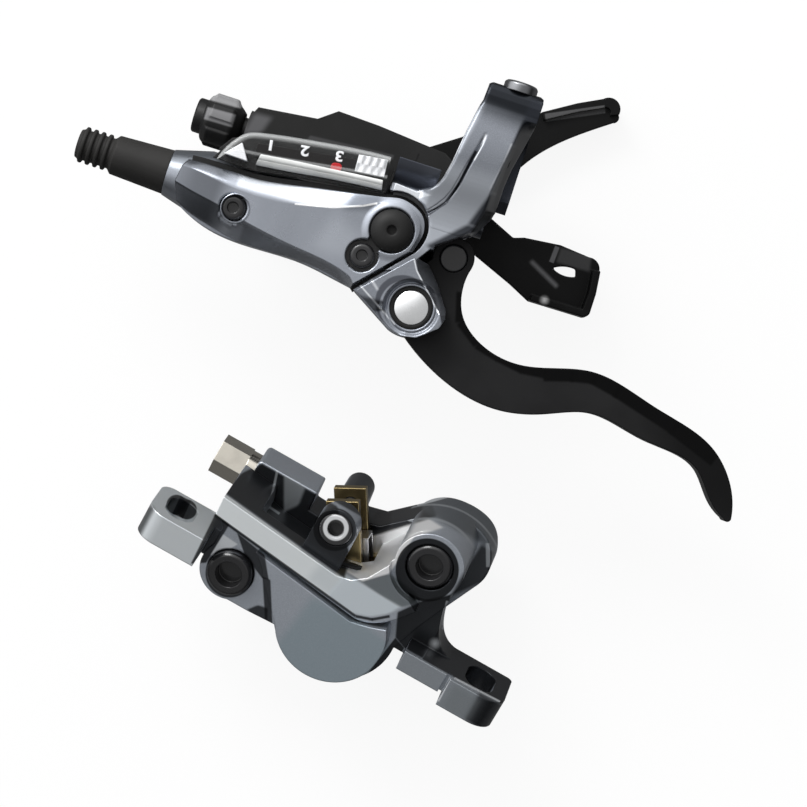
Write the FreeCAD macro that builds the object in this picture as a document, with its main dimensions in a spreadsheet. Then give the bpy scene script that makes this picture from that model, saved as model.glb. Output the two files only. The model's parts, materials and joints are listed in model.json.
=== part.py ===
import FreeCAD, Part
import math
import os
import re
import Sketcher
from FreeCAD import Placement, Rotation, Vector

# Flat-bar brake lever with its three-speed shifter, and the two-piston caliper that it works.
# Lever unit: origin at the centre of the handlebar bore, +X along the bar to the lever tip,
# +Y back to the rider, +Z up. The caliper has a frame of its own, set on its side beside it.
doc = FreeCAD.newDocument("hydraulic_disc_brake")
sheet = doc.addObject("Spreadsheet::Sheet", "sizes")

clamp_sizes = {
    "bar_diameter": 22.2,
    "clamp_wall": 4.3,
    "clamp_width": 12.0,
    "clamp_mid": 0.8,
    "clamp_split": 9.6,
    "split_gap": 0.2,
    "band_lug_end": 14.8,
    "bolt_mid": 1.4,
    "bolt_height": 14.7,
    "bolt_diameter": 5.0,
    "bolt_head_diameter": 7.3,
    "bolt_head_height": 2.2,
    "arm_height": 18.6,
    "groove_depth": 1.1,
    "hinge_back": -12.9,
    "hinge_height": -8.9,
    "hinge_pin_diameter": 2.5,
    "knuckle_radius": 2.7,
    "knuckle_width": 4.4,
    "knuckle_mid": -1.5,
    "hinge_length": 9.4,
    "bar_room": 11.4,
}
housing_sizes = {
    "cylinder_back": -23.1,
    "cylinder_height": 0.0,
    "cylinder_radius": 7.3,
    "housing_left": -65.0,
    "tray_top": 8.2,
    "tray_floor": 5.7,
    "lid_top": 14.2,
    "lid_gap": 0.9,
    "bracket_top": 13.2,
    "bracket_bottom": -9.0,
    "foot_bottom": -13.4,
    "lug_top": 10.4,
    "pivot_across": -6.3,
    "pivot_back": -35.0,
    "pivot_diameter": 6.8,
    "bush_diameter": 8.8,
    "lug_radius": 6.0,
    "recess_depth": 0.9,
    "mouth_left": -13.2,
    "mouth_back": -15.8,
    "screw_left_across": -48.6,
    "screw_left_back": -26.6,
    "screw_right_across": -19.6,
    "screw_right_back": -27.8,
    "lid_screw_head": 5.4,
    "lid_screw_thread": 2.5,
    "lid_screw_seat": 11.6,
    "bleed_across": -15.2,
    "bleed_back": -20.9,
    "bleed_dome": 9.0,
    "bleed_thread": 4.6,
    "bleed_seat": 13.0,
    "rubber": 0.8,
}
hydraulic_sizes = {
    "bore_diameter": 10.0,
    "bore_start": -52.0,
    "bore_mouth": -14.0,
    "hose_thread": 8.0,
    "hose_port_depth": 7.0,
    "hose_bore": 5.1,
    "boot_end": -85.4,
    "boot_radius": 4.2,
    "boot_foot_radius": 4.9,
    "piston_front": -36.5,
    "piston_back": -16.4,
    "land_gap": 0.05,
    "cup_root": 6.4,
    "spring_wire": 0.9,
    "spring_turns": 5,
    "rod_diameter": 4.0,
    "rod_gap": 0.15,
    "cross_pin_across": -1.0,
    "cross_pin_back": -22.0,
    "cross_pin_diameter": 6.0,
    "circlip_start": -15.6,
    "circlip_wire": 0.9,
}
blade_sizes = {
    "blade_height": 10.0,
    "blade_gap": 0.3,
    "hub_radius": 6.1,
    "lobe_radius": 4.5,
    "blade_edge": 1.2,
    "turn_gap": 0.05,
}
shifter_sizes = {
    "pod_top": -13.8,
    "pod_bottom": -31.0,
    "pod_wall": 1.6,
    "pod_right": -6.4,
    "cover_thick": 2.0,
    "axle_across": -14.0,
    "axle_back": -8.0,
    "axle_diameter": 5.0,
    "drum_radius": 5.2,
    "drum_top": -16.4,
    "drum_thick": 4.6,
    "release_top": -22.0,
    "plate_thick": 2.0,
    "main_top": -26.4,
    "adjuster_back": -8.1,
    "adjuster_height": -20.6,
    "adjuster_end": -65.2,
    "adjuster_radius": 6.0,
    "adjuster_thread": 5.6,
    "cable_bore": 5.2,
    "window_floor": 10.0,
    "window_top": 14.8,
    "window_wall": 1.0,
    "needle_travel": 15.0,
    "mount_screw_across": -6.5,
    "mount_screw_back": -19.6,
    "mount_screw_thread": 4.0,
}
caliper_sizes = {
    "caliper_across": -3.8,
    "caliper_back": -99.3,
    "caliper_lift": -13.99,
    "caliper_turn": -11.5,
    "caliper_tilt": 21.5,
    "post_pitch": 74.0,
    "ear_top": 4.9,
    "ear_thick": 6.8,
    "ear_near": 18.8,
    "ear_far": 3.5,
    "ear_slot_width": 6.8,
    "ear_slot_length": 10.2,
    "ear_slot_mid": 11.1,
    "split_plane": -5.2,
    "core_front": 11.0,
    "rail_front": 15.5,
    "rail_back": 9.4,
    "boss_front": 13.0,
    "face_front": 16.5,
    "face_radius": 12.2,
    "housing_radius": 13.8,
    "back_face": -15.0,
    "piston_across": 3.6,
    "rotor_across": 42.4,
    "rotor_down": -57.7,
    "rotor_radius": 80.0,
    "rotor_room": 0.8,
    "slot_half": 1.6,
    "piston_diameter": 22.0,
    "piston_gap": 0.03,
    "bore_bottom": 12.8,
    "seal_depth": 1.8,
    "seal_start": 7.6,
    "seal_thick": 2.0,
    "pad_front": 1.25,
    "lining_thick": 1.95,
    "plate_steel": 2.0,
    "pad_radius": 12.3,
    "pad_room": 0.4,
    "pad_turn": 30.0,
    "pad_eye_across": -6.0,
    "pad_eye_up": 19.5,
    "pad_axle_diameter": 3.0,
    "right_bolt_across": 15.3,
    "right_bolt_up": 22.7,
    "left_bolt_across": -21.4,
    "left_bolt_up": -2.1,
    "body_bolt_diameter": 6.0,
    "body_bolt_head": 10.0,
    "body_bolt_seat": 7.6,
    "body_bolt_head_height": 5.6,
    "fitting_up": 11.7,
    "fitting_depth": -9.9,
    "fitting_thread": 6.0,
    "fitting_hex": 8.0,
}

names = {}
for sizes in (clamp_sizes, housing_sizes, hydraulic_sizes, blade_sizes, shifter_sizes, caliper_sizes):
    names.update(sizes)
for row, (name, value) in enumerate(names.items(), start=1):
    sheet.set(f"A{row}", name)
    sheet.set(f"B{row}", str(value))
    sheet.setAlias(f"B{row}", name)
doc.recompute()


def val(text):
    """The number that an expression of size names gives."""
    return float(sheet.evalExpression(str(text)))


def bound(text):
    """The same expression, with each size name pointed at the sheet."""
    return re.sub(r"[a-z][a-z0-9_]*",
                  lambda word: "sizes." + word.group(0) if word.group(0) in names else word.group(0),
                  str(text))


def bind(thing, prop, text):
    thing.setExpression(prop, bound(text))


caliper_pose = Placement(Vector(val("caliper_across"), val("caliper_back"), val("caliper_lift")),
                         Rotation(Vector(0, 0, 1), val("caliper_turn"))
                         * Rotation(Vector(1, 0, 0), val("caliper_tilt")))
along_x = Rotation(Vector(0, 1, 0), 90)
along_minus_x = Rotation(Vector(0, 1, 0), -90)
along_y = Rotation(Vector(1, 0, 0), -90)
upright = Rotation()
upside_down = Rotation(Vector(1, 0, 0), 180)
parts = {}


def outline(start, *moves):
    """Edges of a closed outline. A move is a point for a line, a pair of points for an arc
    through the first to the second, or a list of points for a smooth curve through them."""
    first = Vector(val(start[0]), val(start[1]), 0)
    here = first
    edges = []
    for move in moves:
        if isinstance(move, list):
            run = [Vector(val(x), val(y), 0) for x, y in move]
            curve = Part.BSplineCurve()
            curve.interpolate([here] + run)
            edges.append(curve)
            here = run[-1]
        elif isinstance(move[0], tuple):
            through, end = [Vector(val(x), val(y), 0) for x, y in move]
            edges.append(Part.Arc(here, through, end))
            here = end
        else:
            end = Vector(val(move[0]), val(move[1]), 0)
            edges.append(Part.LineSegment(here, end))
            here = end
    if here.distanceToPoint(first) > 1e-6:
        edges.append(Part.LineSegment(here, first))
    return edges


class Piece:
    """A PartDesign body built from sketches on its own origin planes."""

    def __init__(self, label):
        self.label = label
        self.body = doc.addObject("PartDesign::Body", label)
        self.planes = {f.Role: f for f in self.body.Origin.OriginFeatures}
        self.count = 0
        self.tip = None
        parts[label] = self.body

    def name(self, kind):
        self.count += 1
        return f"{self.label}_{kind}_{self.count}"

    def sketch(self, plane, level, edges=(), circles=()):
        """level runs along +Z for XY, +Y for XZ and +X for YZ sketches."""
        sketch = self.body.newObject("Sketcher::SketchObject", self.name("sketch"))
        sketch.AttachmentSupport = [(self.planes[plane + "_Plane"], "")]
        sketch.MapMode = "FlatFace"
        bind(sketch, "AttachmentOffset.Base.z", f"-({level})" if plane == "XZ" else level)
        for edge in edges:
            sketch.addGeometry(edge, False)
        for x, y, radius in circles:
            ring = Part.Circle(Vector(val(x), val(y), 0), Vector(0, 0, 1), val(radius))
            item = sketch.addGeometry(ring, False)
            for rule, text in (("Radius", radius), ("DistanceX", x), ("DistanceY", y)):
                ends = (item,) if rule == "Radius" else (-1, 1, item, 3)
                number = sketch.addConstraint(Sketcher.Constraint(rule, *ends, val(text)))
                bind(sketch, f"Constraints[{number}]", text)
        return sketch

    def pad(self, plane, level, length, edges=(), circles=(), back=False, taper=0):
        """Adds stock from the level along the plane's positive axis, or against it."""
        pad = self.body.newObject("PartDesign::Pad", self.name("pad"))
        pad.Profile = self.sketch(plane, level, edges, circles)
        bind(pad, "Length", length)
        pad.Reversed = (plane == "XZ") != back
        pad.TaperAngle = taper
        self.tip = pad
        return self

    def cut(self, plane, level, length, edges=(), circles=(), back=False, taper=0):
        """Removes stock from the level along the plane's positive axis, or against it."""
        before = self.volume()
        pocket = self.body.newObject("PartDesign::Pocket", self.name("pocket"))
        pocket.Profile = self.sketch(plane, level, edges, circles)
        bind(pocket, "Length", length)
        pocket.Reversed = (plane == "XZ") == back
        pocket.TaperAngle = taper
        doc.recompute()
        if self.volume() > before - 1e-6:
            print("cuts nothing:", pocket.Name)
        self.tip = pocket
        return self

    def volume(self):
        doc.recompute()
        return self.body.Shape.Volume

    def edge_names(self, wanted):
        return [f"Edge{number}" for number, edge in enumerate(self.tip.Shape.Edges, start=1) if wanted(edge)]

    def dress(self, kind, size, wanted):
        """A fillet or chamfer on the edges that the test picks."""
        doc.recompute()
        picked = self.edge_names(wanted)
        feature = self.body.newObject("PartDesign::" + kind, self.name(kind.lower()))
        feature.Base = (self.tip, picked)
        bind(feature, "Radius" if kind == "Fillet" else "Size", size)
        doc.recompute()
        if "Invalid" in feature.State or not picked:
            print("no", kind, "on", self.label, len(picked))
        self.tip = feature
        return self

    def place(self, at=(0, 0, 0), turn=upright, frame=None):
        local = Placement(Vector(*[val(part) for part in at]), turn)
        self.body.Placement = frame.multiply(local) if frame else local
        if not frame:
            for axis, text in zip("xyz", at):
                bind(self.body, "Placement.Base." + axis, text)
        return self


def turned(label, profile, at=(0, 0, 0), turn=upright, frame=None):
    """A revolved body: its profile is (radius, height) points round its own Z axis."""
    piece = Piece(label)
    sketch = piece.sketch("XZ", 0, outline(profile[0], *profile[1:]))
    count = len(sketch.Geometry)
    for item in range(count):
        sketch.addConstraint(Sketcher.Constraint("Coincident", item, 2, (item + 1) % count, 1))
    points = [move[-1] if isinstance(move[0], tuple) or isinstance(move, list) else move for move in profile]
    for item, (radius, height) in enumerate(points[:count]):
        for rule, text in (("DistanceX", radius), ("DistanceY", height)):
            number = sketch.addConstraint(Sketcher.Constraint(rule, -1, 1, item, 1, val(text)))
            bind(sketch, f"Constraints[{number}]", text)
    turn_feature = piece.body.newObject("PartDesign::Revolution", piece.name("revolution"))
    turn_feature.Profile = sketch
    turn_feature.ReferenceAxis = (sketch, ["V_Axis"])
    turn_feature.Angle = 360
    piece.tip = turn_feature
    return piece.place(at, turn, frame)


def group(label, members):
    """Like fasteners that share one node."""
    bundle = doc.addObject("Part::Compound", label)
    bundle.Links = [member.body for member in members]
    for member in members:
        parts.pop(member.label)
    parts[label] = bundle


def hexagon(across, middle=(0, 0)):
    """Outline of a hexagon, across flats."""
    corner = f"({across}) / sqrt(3)"
    points = [(f"{middle[0]} + {corner} * {math.cos(math.radians(60 * k + 30)):.6f}",
               f"{middle[1]} + {corner} * {math.sin(math.radians(60 * k + 30)):.6f}") for k in range(6)]
    return outline(points[0], *points[1:])


def box_edges(x0, y0, x1, y1):
    return outline((x0, y0), (x1, y0), (x1, y1), (x0, y1))


cylinder = ("cylinder_back", "cylinder_height")
bar_radius = "bar_diameter / 2"


def lever_housing():
    """One casting: the arm over the bar, the bracket, the master cylinder and the pivot lug."""
    housing = Piece("lever_housing")
    arm_side = outline(
        ("clamp_split", "sqrt((bar_diameter / 2)^2 - clamp_split^2)"),
        ("clamp_split", "arm_height - 0.5"),
        [("4", "arm_height"), ("-5", "arm_height - 0.7"), ("-11", "arm_height - 3.4"), ("-17", "bracket_top + 0.2")],
        ("-22", "bracket_top"),
        ("-22", "bracket_bottom"),
        ("-9.6", "bracket_bottom"),
        ("-9.6", "-sqrt((bar_diameter / 2)^2 - 9.6^2)"),
        (("-bar_diameter / 2 * 0.7071", "bar_diameter / 2 * 0.7071"),
         ("clamp_split", "sqrt((bar_diameter / 2)^2 - clamp_split^2)")))
    housing.pad("YZ", "-9.6", "16.4", arm_side)
    housing.cut("XY", "-12", "36", outline(
        ("-13.7", "-9.8"), ("-9.5", "-9.8"), [("-8.4", "-7.5"), ("-7.2", "-0.2"), ("-5.8", "8.6"), ("-4.9", "20.4")], ("-13.7", "20.4")))
    housing.cut("XY", "-12", "36", outline(
        ("6.7", "21.2"), ("6.7", "11.3"), ("6.1", "-1.5"), ("4.2", "-10.9"), ("1.8", "-15.4"), ("-5.6", "-20.9"),
        ("-5.6", "-26.3"), ("11.9", "-26.3"), ("11.9", "21.2")))
    housing.cut("XY", "arm_height + 1", "13", outline(
        ("4.6", "22.2"), ("3.3", "3.6"), ("0.9", "-11.0"), ("-0.9", "-16.3"), ("-6.1", "-21.2"), ("-6.1", "-40.3"),
        ("29.3", "-40.3"), ("29.3", "22.2")), back=True, taper=-14)
    bracket = outline(
        ("-17.6", "-11.0"), ("-17.6", "-13.6 + lid_gap"),
        (("-8.6 + lid_gap / 2", "-17.2"), ("-9.5 + lid_gap / 2", "-23.7")),
        ("-14.7 + lid_gap / 2", "-29.3"), ("-8.9", "-27.6"), ("-8.3", "-25.0"), ("-5.7", "-21.1"),
        ("-2.0", "-18.1"), ("-0.0", "-14.6"), ("-0.0", "-10.2"), ("-9.5", "-10.2"), ("-12.8", "-11.4"))
    housing.pad("XY", "bracket_bottom", "bracket_top - bracket_bottom", bracket)
    lug = outline(
        ("-19.7 + lid_gap / 2", "-35.1"), ("-9.9", "-40.6"),
        (("pivot_across", "pivot_back - lug_radius - 0.2"), ("-2.4", "-39.9")),
        ("0.3", "-35.8"), ("-1.4", "-33.9"), ("-7.1", "-28.3"), ("-8.5", "-25.4"), ("-9.5 + lid_gap / 2", "-23.7"))
    housing.pad("XY", "bracket_bottom", "lug_top - bracket_bottom", lug)
    housing.pad("YZ", "-18.4", "9.2", outline(
        ("-5.4", "9"), ("-5.4", "12.4"), (("-8.4", "10.8"), ("-10.8", "8.4")), ("-12.5", "8"), ("-12.5", "4"), ("-9", "4")))
    housing.pad("YZ", "-57", "mouth_left + 57", circles=[(*cylinder, "cylinder_radius")])
    housing.pad("YZ", "-57", "-57 - housing_left", circles=[(*cylinder, "cylinder_radius")], back=True, taper=-15.5)
    tray = outline(
        ("-61.2", "-19.2"),
        [("-55.5", "-18.3"), ("-45.6", "-18.1"), ("-35.7", "-16.6"), ("-17.9", "-13.8")],
        ("-10.9", "-15.0"), ("-9.3", "-22.3"), ("-19.7", "-34.9"),
        [("-24.8", "-34.0"), ("-31.7", "-33.0"), ("-45.6", "-33.1"), ("-59.5", "-29.8")],
        (("-62.1", "-24.3"), ("-61.2", "-19.2")))
    housing.pad("XY", "cylinder_height", "tray_top - cylinder_height", tray)
    housing.pad("YZ", "-7.2", "10.4", circles=[("hinge_back", "hinge_height", "knuckle_radius")])
    housing.pad("XY", "foot_bottom", "bracket_bottom - foot_bottom", box_edges("-11.5", "-22.5", "-2", "-16.4"))
    housing.cut("XY", "cylinder_height - blade_height / 2 - blade_gap", "blade_height + 2 * blade_gap",
                box_edges("mouth_left", "-46", "14", "mouth_back"))
    housing.cut("YZ", "bore_start", "bore_mouth - bore_start + 2", circles=[(*cylinder, "bore_diameter / 2")])
    housing.cut("YZ", "circlip_start - 0.02", "circlip_wire + 0.04", circles=[(*cylinder, "bore_diameter / 2 + 0.62")])
    housing.cut("YZ", "housing_left", "hose_port_depth", circles=[(*cylinder, "hose_thread / 2")])
    housing.cut("YZ", "housing_left + 1", "bore_start - housing_left", circles=[(*cylinder, "0.9")])
    housing.cut("XY", "tray_top", "tray_top - tray_floor", box_edges("-44", "-29.6", "-24", "-19.4"), back=True)
    housing.cut("XY", "tray_top", "rubber", box_edges("-45.5", "-31", "-22.5", "-18.2"), back=True)
    housing.cut("XY", "tray_floor + 0.2", "3", circles=[("-37.9", "cylinder_back", "0.4"), ("-28", "cylinder_back", "0.8")],
                back=True)
    housing.cut("XY", "-20", "40", circles=[("pivot_across", "pivot_back", "bush_diameter / 2")])
    housing.cut("XY", "lug_top", "recess_depth", outline(
        ("-7.2", "-29.7"), (("-10.8", "-28.7"), ("-14.4", "-31.3")), ("-11.3", "-33.0"), (("-9.6", "-30.8"), ("-7.2", "-29.7"))),
        back=True)
    for across, back in (("screw_left_across", "screw_left_back"), ("screw_right_across", "screw_right_back")):
        housing.cut("XY", "tray_top", "3.2", circles=[(across, back, "lid_screw_thread / 2 + 0.02")], back=True)
    housing.cut("XY", "tray_top", "2.4", circles=[("bleed_across", "bleed_back", "bleed_thread / 2 + 0.2")], back=True)
    housing.cut("XY", "tray_top", "12", outline(
        ("-17.6", "-13.6 + lid_gap"), (("-8.6 + lid_gap / 2", "-17.2"), ("-9.5 + lid_gap / 2", "-23.7")),
        ("-19.7 + lid_gap / 2", "-35.1"), ("-30", "-36"), ("-30", "-13.6 + lid_gap")))
    housing.cut("XY", "foot_bottom", "4", circles=[("mount_screw_across", "mount_screw_back",
                                                    "mount_screw_thread / 2 + 0.02")])
    housing.cut("XZ", "clamp_split", "10.4", circles=[("bolt_mid", "bolt_height", "bolt_diameter / 2 + 0.02")], back=True)
    housing.cut("YZ", "knuckle_mid - knuckle_width / 2 - 0.2", "knuckle_width + 0.4",
                box_edges("-16.4", "-14", "-8", "-5.6"))
    housing.cut("YZ", "-10", "20", circles=[("hinge_back", "hinge_height", "hinge_pin_diameter / 2 + 0.02")])
    housing.cut("YZ", "-20", "10.4", circles=[("0", "0", "bar_room")])
    housing.cut("YZ", "-20", "40", circles=[("0", "0", bar_radius)])
    housing.place()
    path = Piece("groove_path")
    path.pad("XY", "8", "14", outline(
        ("-3.1", "3.9"), ("-3.8", "0.1"), ("-5.0", "-7.2"), ("-5.7", "-11.0"), ("-7.1", "-13.0"), ("-9.6", "-14.9"),
        ("-9.2", "-15.8"), ("-6.4", "-13.9"), ("-4.6", "-11.3"), ("-3.8", "-7.0"), ("-2.6", "0.2"), ("-2.0", "3.8")))
    depth = Piece("groove_depth")
    depth.pad("YZ", "-12", "14", outline(
        ("6", "arm_height - groove_depth"), ("2", "arm_height - groove_depth"), ("-5", "arm_height - 0.7 - groove_depth"),
        ("-11", "arm_height - 3.4 - groove_depth"), ("-17", "bracket_top + 0.2 - groove_depth"), ("-17", "arm_height + 4"),
        ("6", "arm_height + 4")))
    groove = doc.addObject("Part::MultiCommon", "groove")
    groove.Shapes = [path.body, depth.body]
    grooved = doc.addObject("Part::Cut", "lever_housing_grooved")
    grooved.Base = housing.body
    grooved.Tool = groove
    for tool in ("groove_path", "groove_depth"):
        parts.pop(tool)
    parts["lever_housing"] = grooved


def clamp_parts():
    band = Piece("clamp_band")
    split = "clamp_split + split_gap"
    reach = "(bar_diameter / 2)"
    outer = "(bar_diameter / 2 + clamp_wall)"
    band.pad("YZ", "clamp_mid - clamp_width / 2", "clamp_width", outline(
        (split, "arm_height - 0.7"), (split, f"sqrt({reach}^2 - ({split})^2)"),
        ((f"{reach} * 0.5878", f"-{reach} * 0.809"), (f"-{reach} * 0.5736", f"-{reach} * 0.8192")),
        (f"-{outer} * 0.5736", f"-{outer} * 0.8192"),
        ((f"{outer} * 0.6428", f"-{outer} * 0.766"), (outer, "0")),
        ("band_lug_end", "3"), ("band_lug_end", "arm_height - 2.2"),
        (("band_lug_end - 0.5", "arm_height - 1.2"), ("band_lug_end - 1.6", "arm_height - 0.8"))))
    band.pad("YZ", "knuckle_mid - knuckle_width / 2", "knuckle_width", outline(
        ("-6.5", "-9.4"), ("-8.9", "-12.8"), ("hinge_back", "hinge_height - knuckle_radius"),
        ("hinge_back", "hinge_height"), ("-10.9", "-7.3")))
    band.pad("YZ", "knuckle_mid - knuckle_width / 2", "knuckle_width",
             circles=[("hinge_back", "hinge_height", "knuckle_radius")])
    band.cut("YZ", "-10", "20", circles=[("hinge_back", "hinge_height", "hinge_pin_diameter / 2 + 0.03")])
    band.cut("XZ", "30", "30", circles=[("bolt_mid", "bolt_height", "bolt_diameter / 2 + 0.2")], back=True)
    band.cut("YZ", "-20", "40", circles=[("0", "0", bar_radius)])
    band.place()
    turned("clamp_hinge_pin", [("0", "0"), ("hinge_pin_diameter / 2", "0"),
                               ("hinge_pin_diameter / 2", "hinge_length"), ("0", "hinge_length")],
           at=("knuckle_mid - 0.4 - hinge_length / 2", "hinge_back", "hinge_height"), turn=along_x)
    turned("clamp_bolt", [("0", "0"), ("bolt_diameter / 2 - 0.4", "0"), ("bolt_diameter / 2", "0.4"),
                          ("bolt_diameter / 2", "band_lug_end - 0.2"), ("bolt_head_diameter / 2", "band_lug_end - 0.2"),
                          ("bolt_head_diameter / 2", "band_lug_end + bolt_head_height - 0.7"),
                          ("bolt_head_diameter / 2 - 0.5", "band_lug_end + bolt_head_height - 0.2"),
                          ("1.6", "band_lug_end + bolt_head_height - 0.2"), ("1.6", "band_lug_end + 0.3"),
                          ("0", "band_lug_end + 0.3")],
           at=("bolt_mid", "0.2", "bolt_height"), turn=along_y)


def reservoir():
    lid = Piece("reservoir_lid")
    foot = lid.sketch("XY", "tray_top", outline(
        ("-62.1", "-19.7"),
        [("-55.5", "-18.5"), ("-45.6", "-18.2"), ("-35.7", "-16.7"), ("-18.1", "-14.0")],
        (("-8.6 - lid_gap / 2", "-17.3"), ("-9.5 - lid_gap / 2", "-23.5")),
        ("-19.8 - lid_gap / 2", "-34.6"),
        [("-24.8", "-33.8"), ("-31.7", "-32.8"), ("-45.6", "-32.9"), ("-60.7", "-29.3")],
        (("-63.3", "-24.8"), ("-62.1", "-19.7"))))
    crown = lid.sketch("XY", "lid_top", outline(
        ("-59.6", "-21.4"),
        [("-55.1", "-20.4"), ("-45.2", "-19.8"), ("-35.4", "-18.4"), ("-18.3", "-15.6")],
        (("-10.0 - lid_gap / 2", "-17.8"), ("-10.4 - lid_gap / 2", "-23.1")),
        ("-17.9 - lid_gap / 2", "-31.6"),
        [("-22.6", "-31.4"), ("-31.5", "-30.6"), ("-45.2", "-28.8"), ("-58.0", "-26.3")],
        (("-60.2", "-23.9"), ("-59.6", "-21.4"))))
    loft = lid.body.newObject("PartDesign::AdditiveLoft", "reservoir_lid_loft")
    loft.Profile = foot
    loft.Sections = [crown]
    lid.tip = loft
    doc.recompute()
    lid.pad("XY", "tray_top + 2", "lid_top - tray_top - 1.6", circles=[("bleed_across", "bleed_back", "bleed_dome / 2 + 0.8")])
    lid.cut("XY", "lid_top + 3", "lid_top + 3 - bleed_seat", circles=[("bleed_across", "bleed_back", "bleed_dome / 2 + 0.25")],
            back=True)
    lid.cut("XY", "bleed_seat", "1", circles=[("bleed_across", "bleed_back", "bleed_thread / 2 + 1.12")], back=True)
    lid.cut("XY", "lid_top", "12", circles=[("bleed_across", "bleed_back", "bleed_thread / 2 + 0.02")], back=True)
    for across, back in (("screw_left_across", "screw_left_back"), ("screw_right_across", "screw_right_back")):
        lid.cut("XY", "lid_top + 2", "lid_top + 2 - lid_screw_seat", circles=[(across, back, "lid_screw_head / 2 + 0.45")],
                back=True)
        lid.cut("XY", "lid_top", "12", circles=[(across, back, "lid_screw_thread / 2 + 0.1")], back=True)
    lid.cut("XY", "tray_top", "2.4", box_edges("-43.6", "-29.2", "-24.4", "-19.8"))
    lid.place()
    rubber = Piece("reservoir_diaphragm")
    rubber.pad("XY", "tray_top - rubber", "rubber", box_edges("-45.4", "-30.9", "-22.6", "-18.3"))
    rubber.pad("XY", "tray_top", "1.6", box_edges("-42", "-28", "-26", "-21"))
    rubber.cut("XY", "tray_top - rubber", "1.6", box_edges("-41.2", "-27.2", "-26.8", "-21.8"))
    rubber.place()
    head = "lid_screw_head / 2"
    thread = "lid_screw_thread / 2"
    screws = []
    for side in ("left", "right"):
        screws.append(turned(
            f"lid_screw_{side}",
            [("0", "tray_top - 3"), (thread, "tray_top - 3"), (thread, "lid_screw_seat"), (head, "lid_screw_seat"),
             (head, "lid_screw_seat + 1.4"), ((f"{head} - 0.3", "lid_screw_seat + 1.9"), (f"{head} - 0.9", "lid_screw_seat + 2.1")),
             ("1.2", "lid_screw_seat + 2.1"), ("1.2", "lid_screw_seat + 0.9"), ("0", "lid_screw_seat + 0.9")],
            at=(f"screw_{side}_across", f"screw_{side}_back", "0")))
    group("lid_screws", screws)
    dome = "bleed_dome / 2"
    shank = "bleed_thread / 2"
    turned("bleed_screw",
           [("0", "tray_top - 2"), (shank, "tray_top - 2"), (shank, "bleed_seat"), (dome, "bleed_seat"), (dome, "lid_top + 0.4"),
            ((f"{dome} * 0.8", "lid_top + 1.2"), ("1.0", "lid_top + 1.7")), ("1.0", "lid_top + 0.4"), ("0", "lid_top + 0.4")],
           at=("bleed_across", "bleed_back", "0"))
    turned("bleed_screw_seal",
           [(f"{shank} + 0.03", "bleed_seat - 1"), (f"{shank} + 1.1", "bleed_seat - 1"), (f"{shank} + 1.1", "bleed_seat"),
            (f"{shank} + 0.03", "bleed_seat")],
           at=("bleed_across", "bleed_back", "0"))


def coil(label, radius, wire, length, turns, at, turn):
    """A round-wire coil spring that starts at the given point and runs along its own Z axis."""
    helix = doc.addObject("Part::Helix", label + "_path")
    bind(helix, "Radius", radius)
    bind(helix, "Height", length)
    bind(helix, "Pitch", f"({length}) / ({turns})")
    ring = doc.addObject("Part::Circle", label + "_wire")
    bind(ring, "Radius", f"({wire}) / 2")
    ring.Placement = Placement(Vector(val(radius), 0, 0), Rotation(Vector(1, 0, 0), 90))
    sweep = doc.addObject("Part::Sweep", label)
    sweep.Sections = [ring]
    sweep.Spine = helix
    sweep.Solid = True
    sweep.Frenet = True
    sweep.Placement = Placement(Vector(*[val(part) for part in at]), turn)
    parts[label] = sweep


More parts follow.
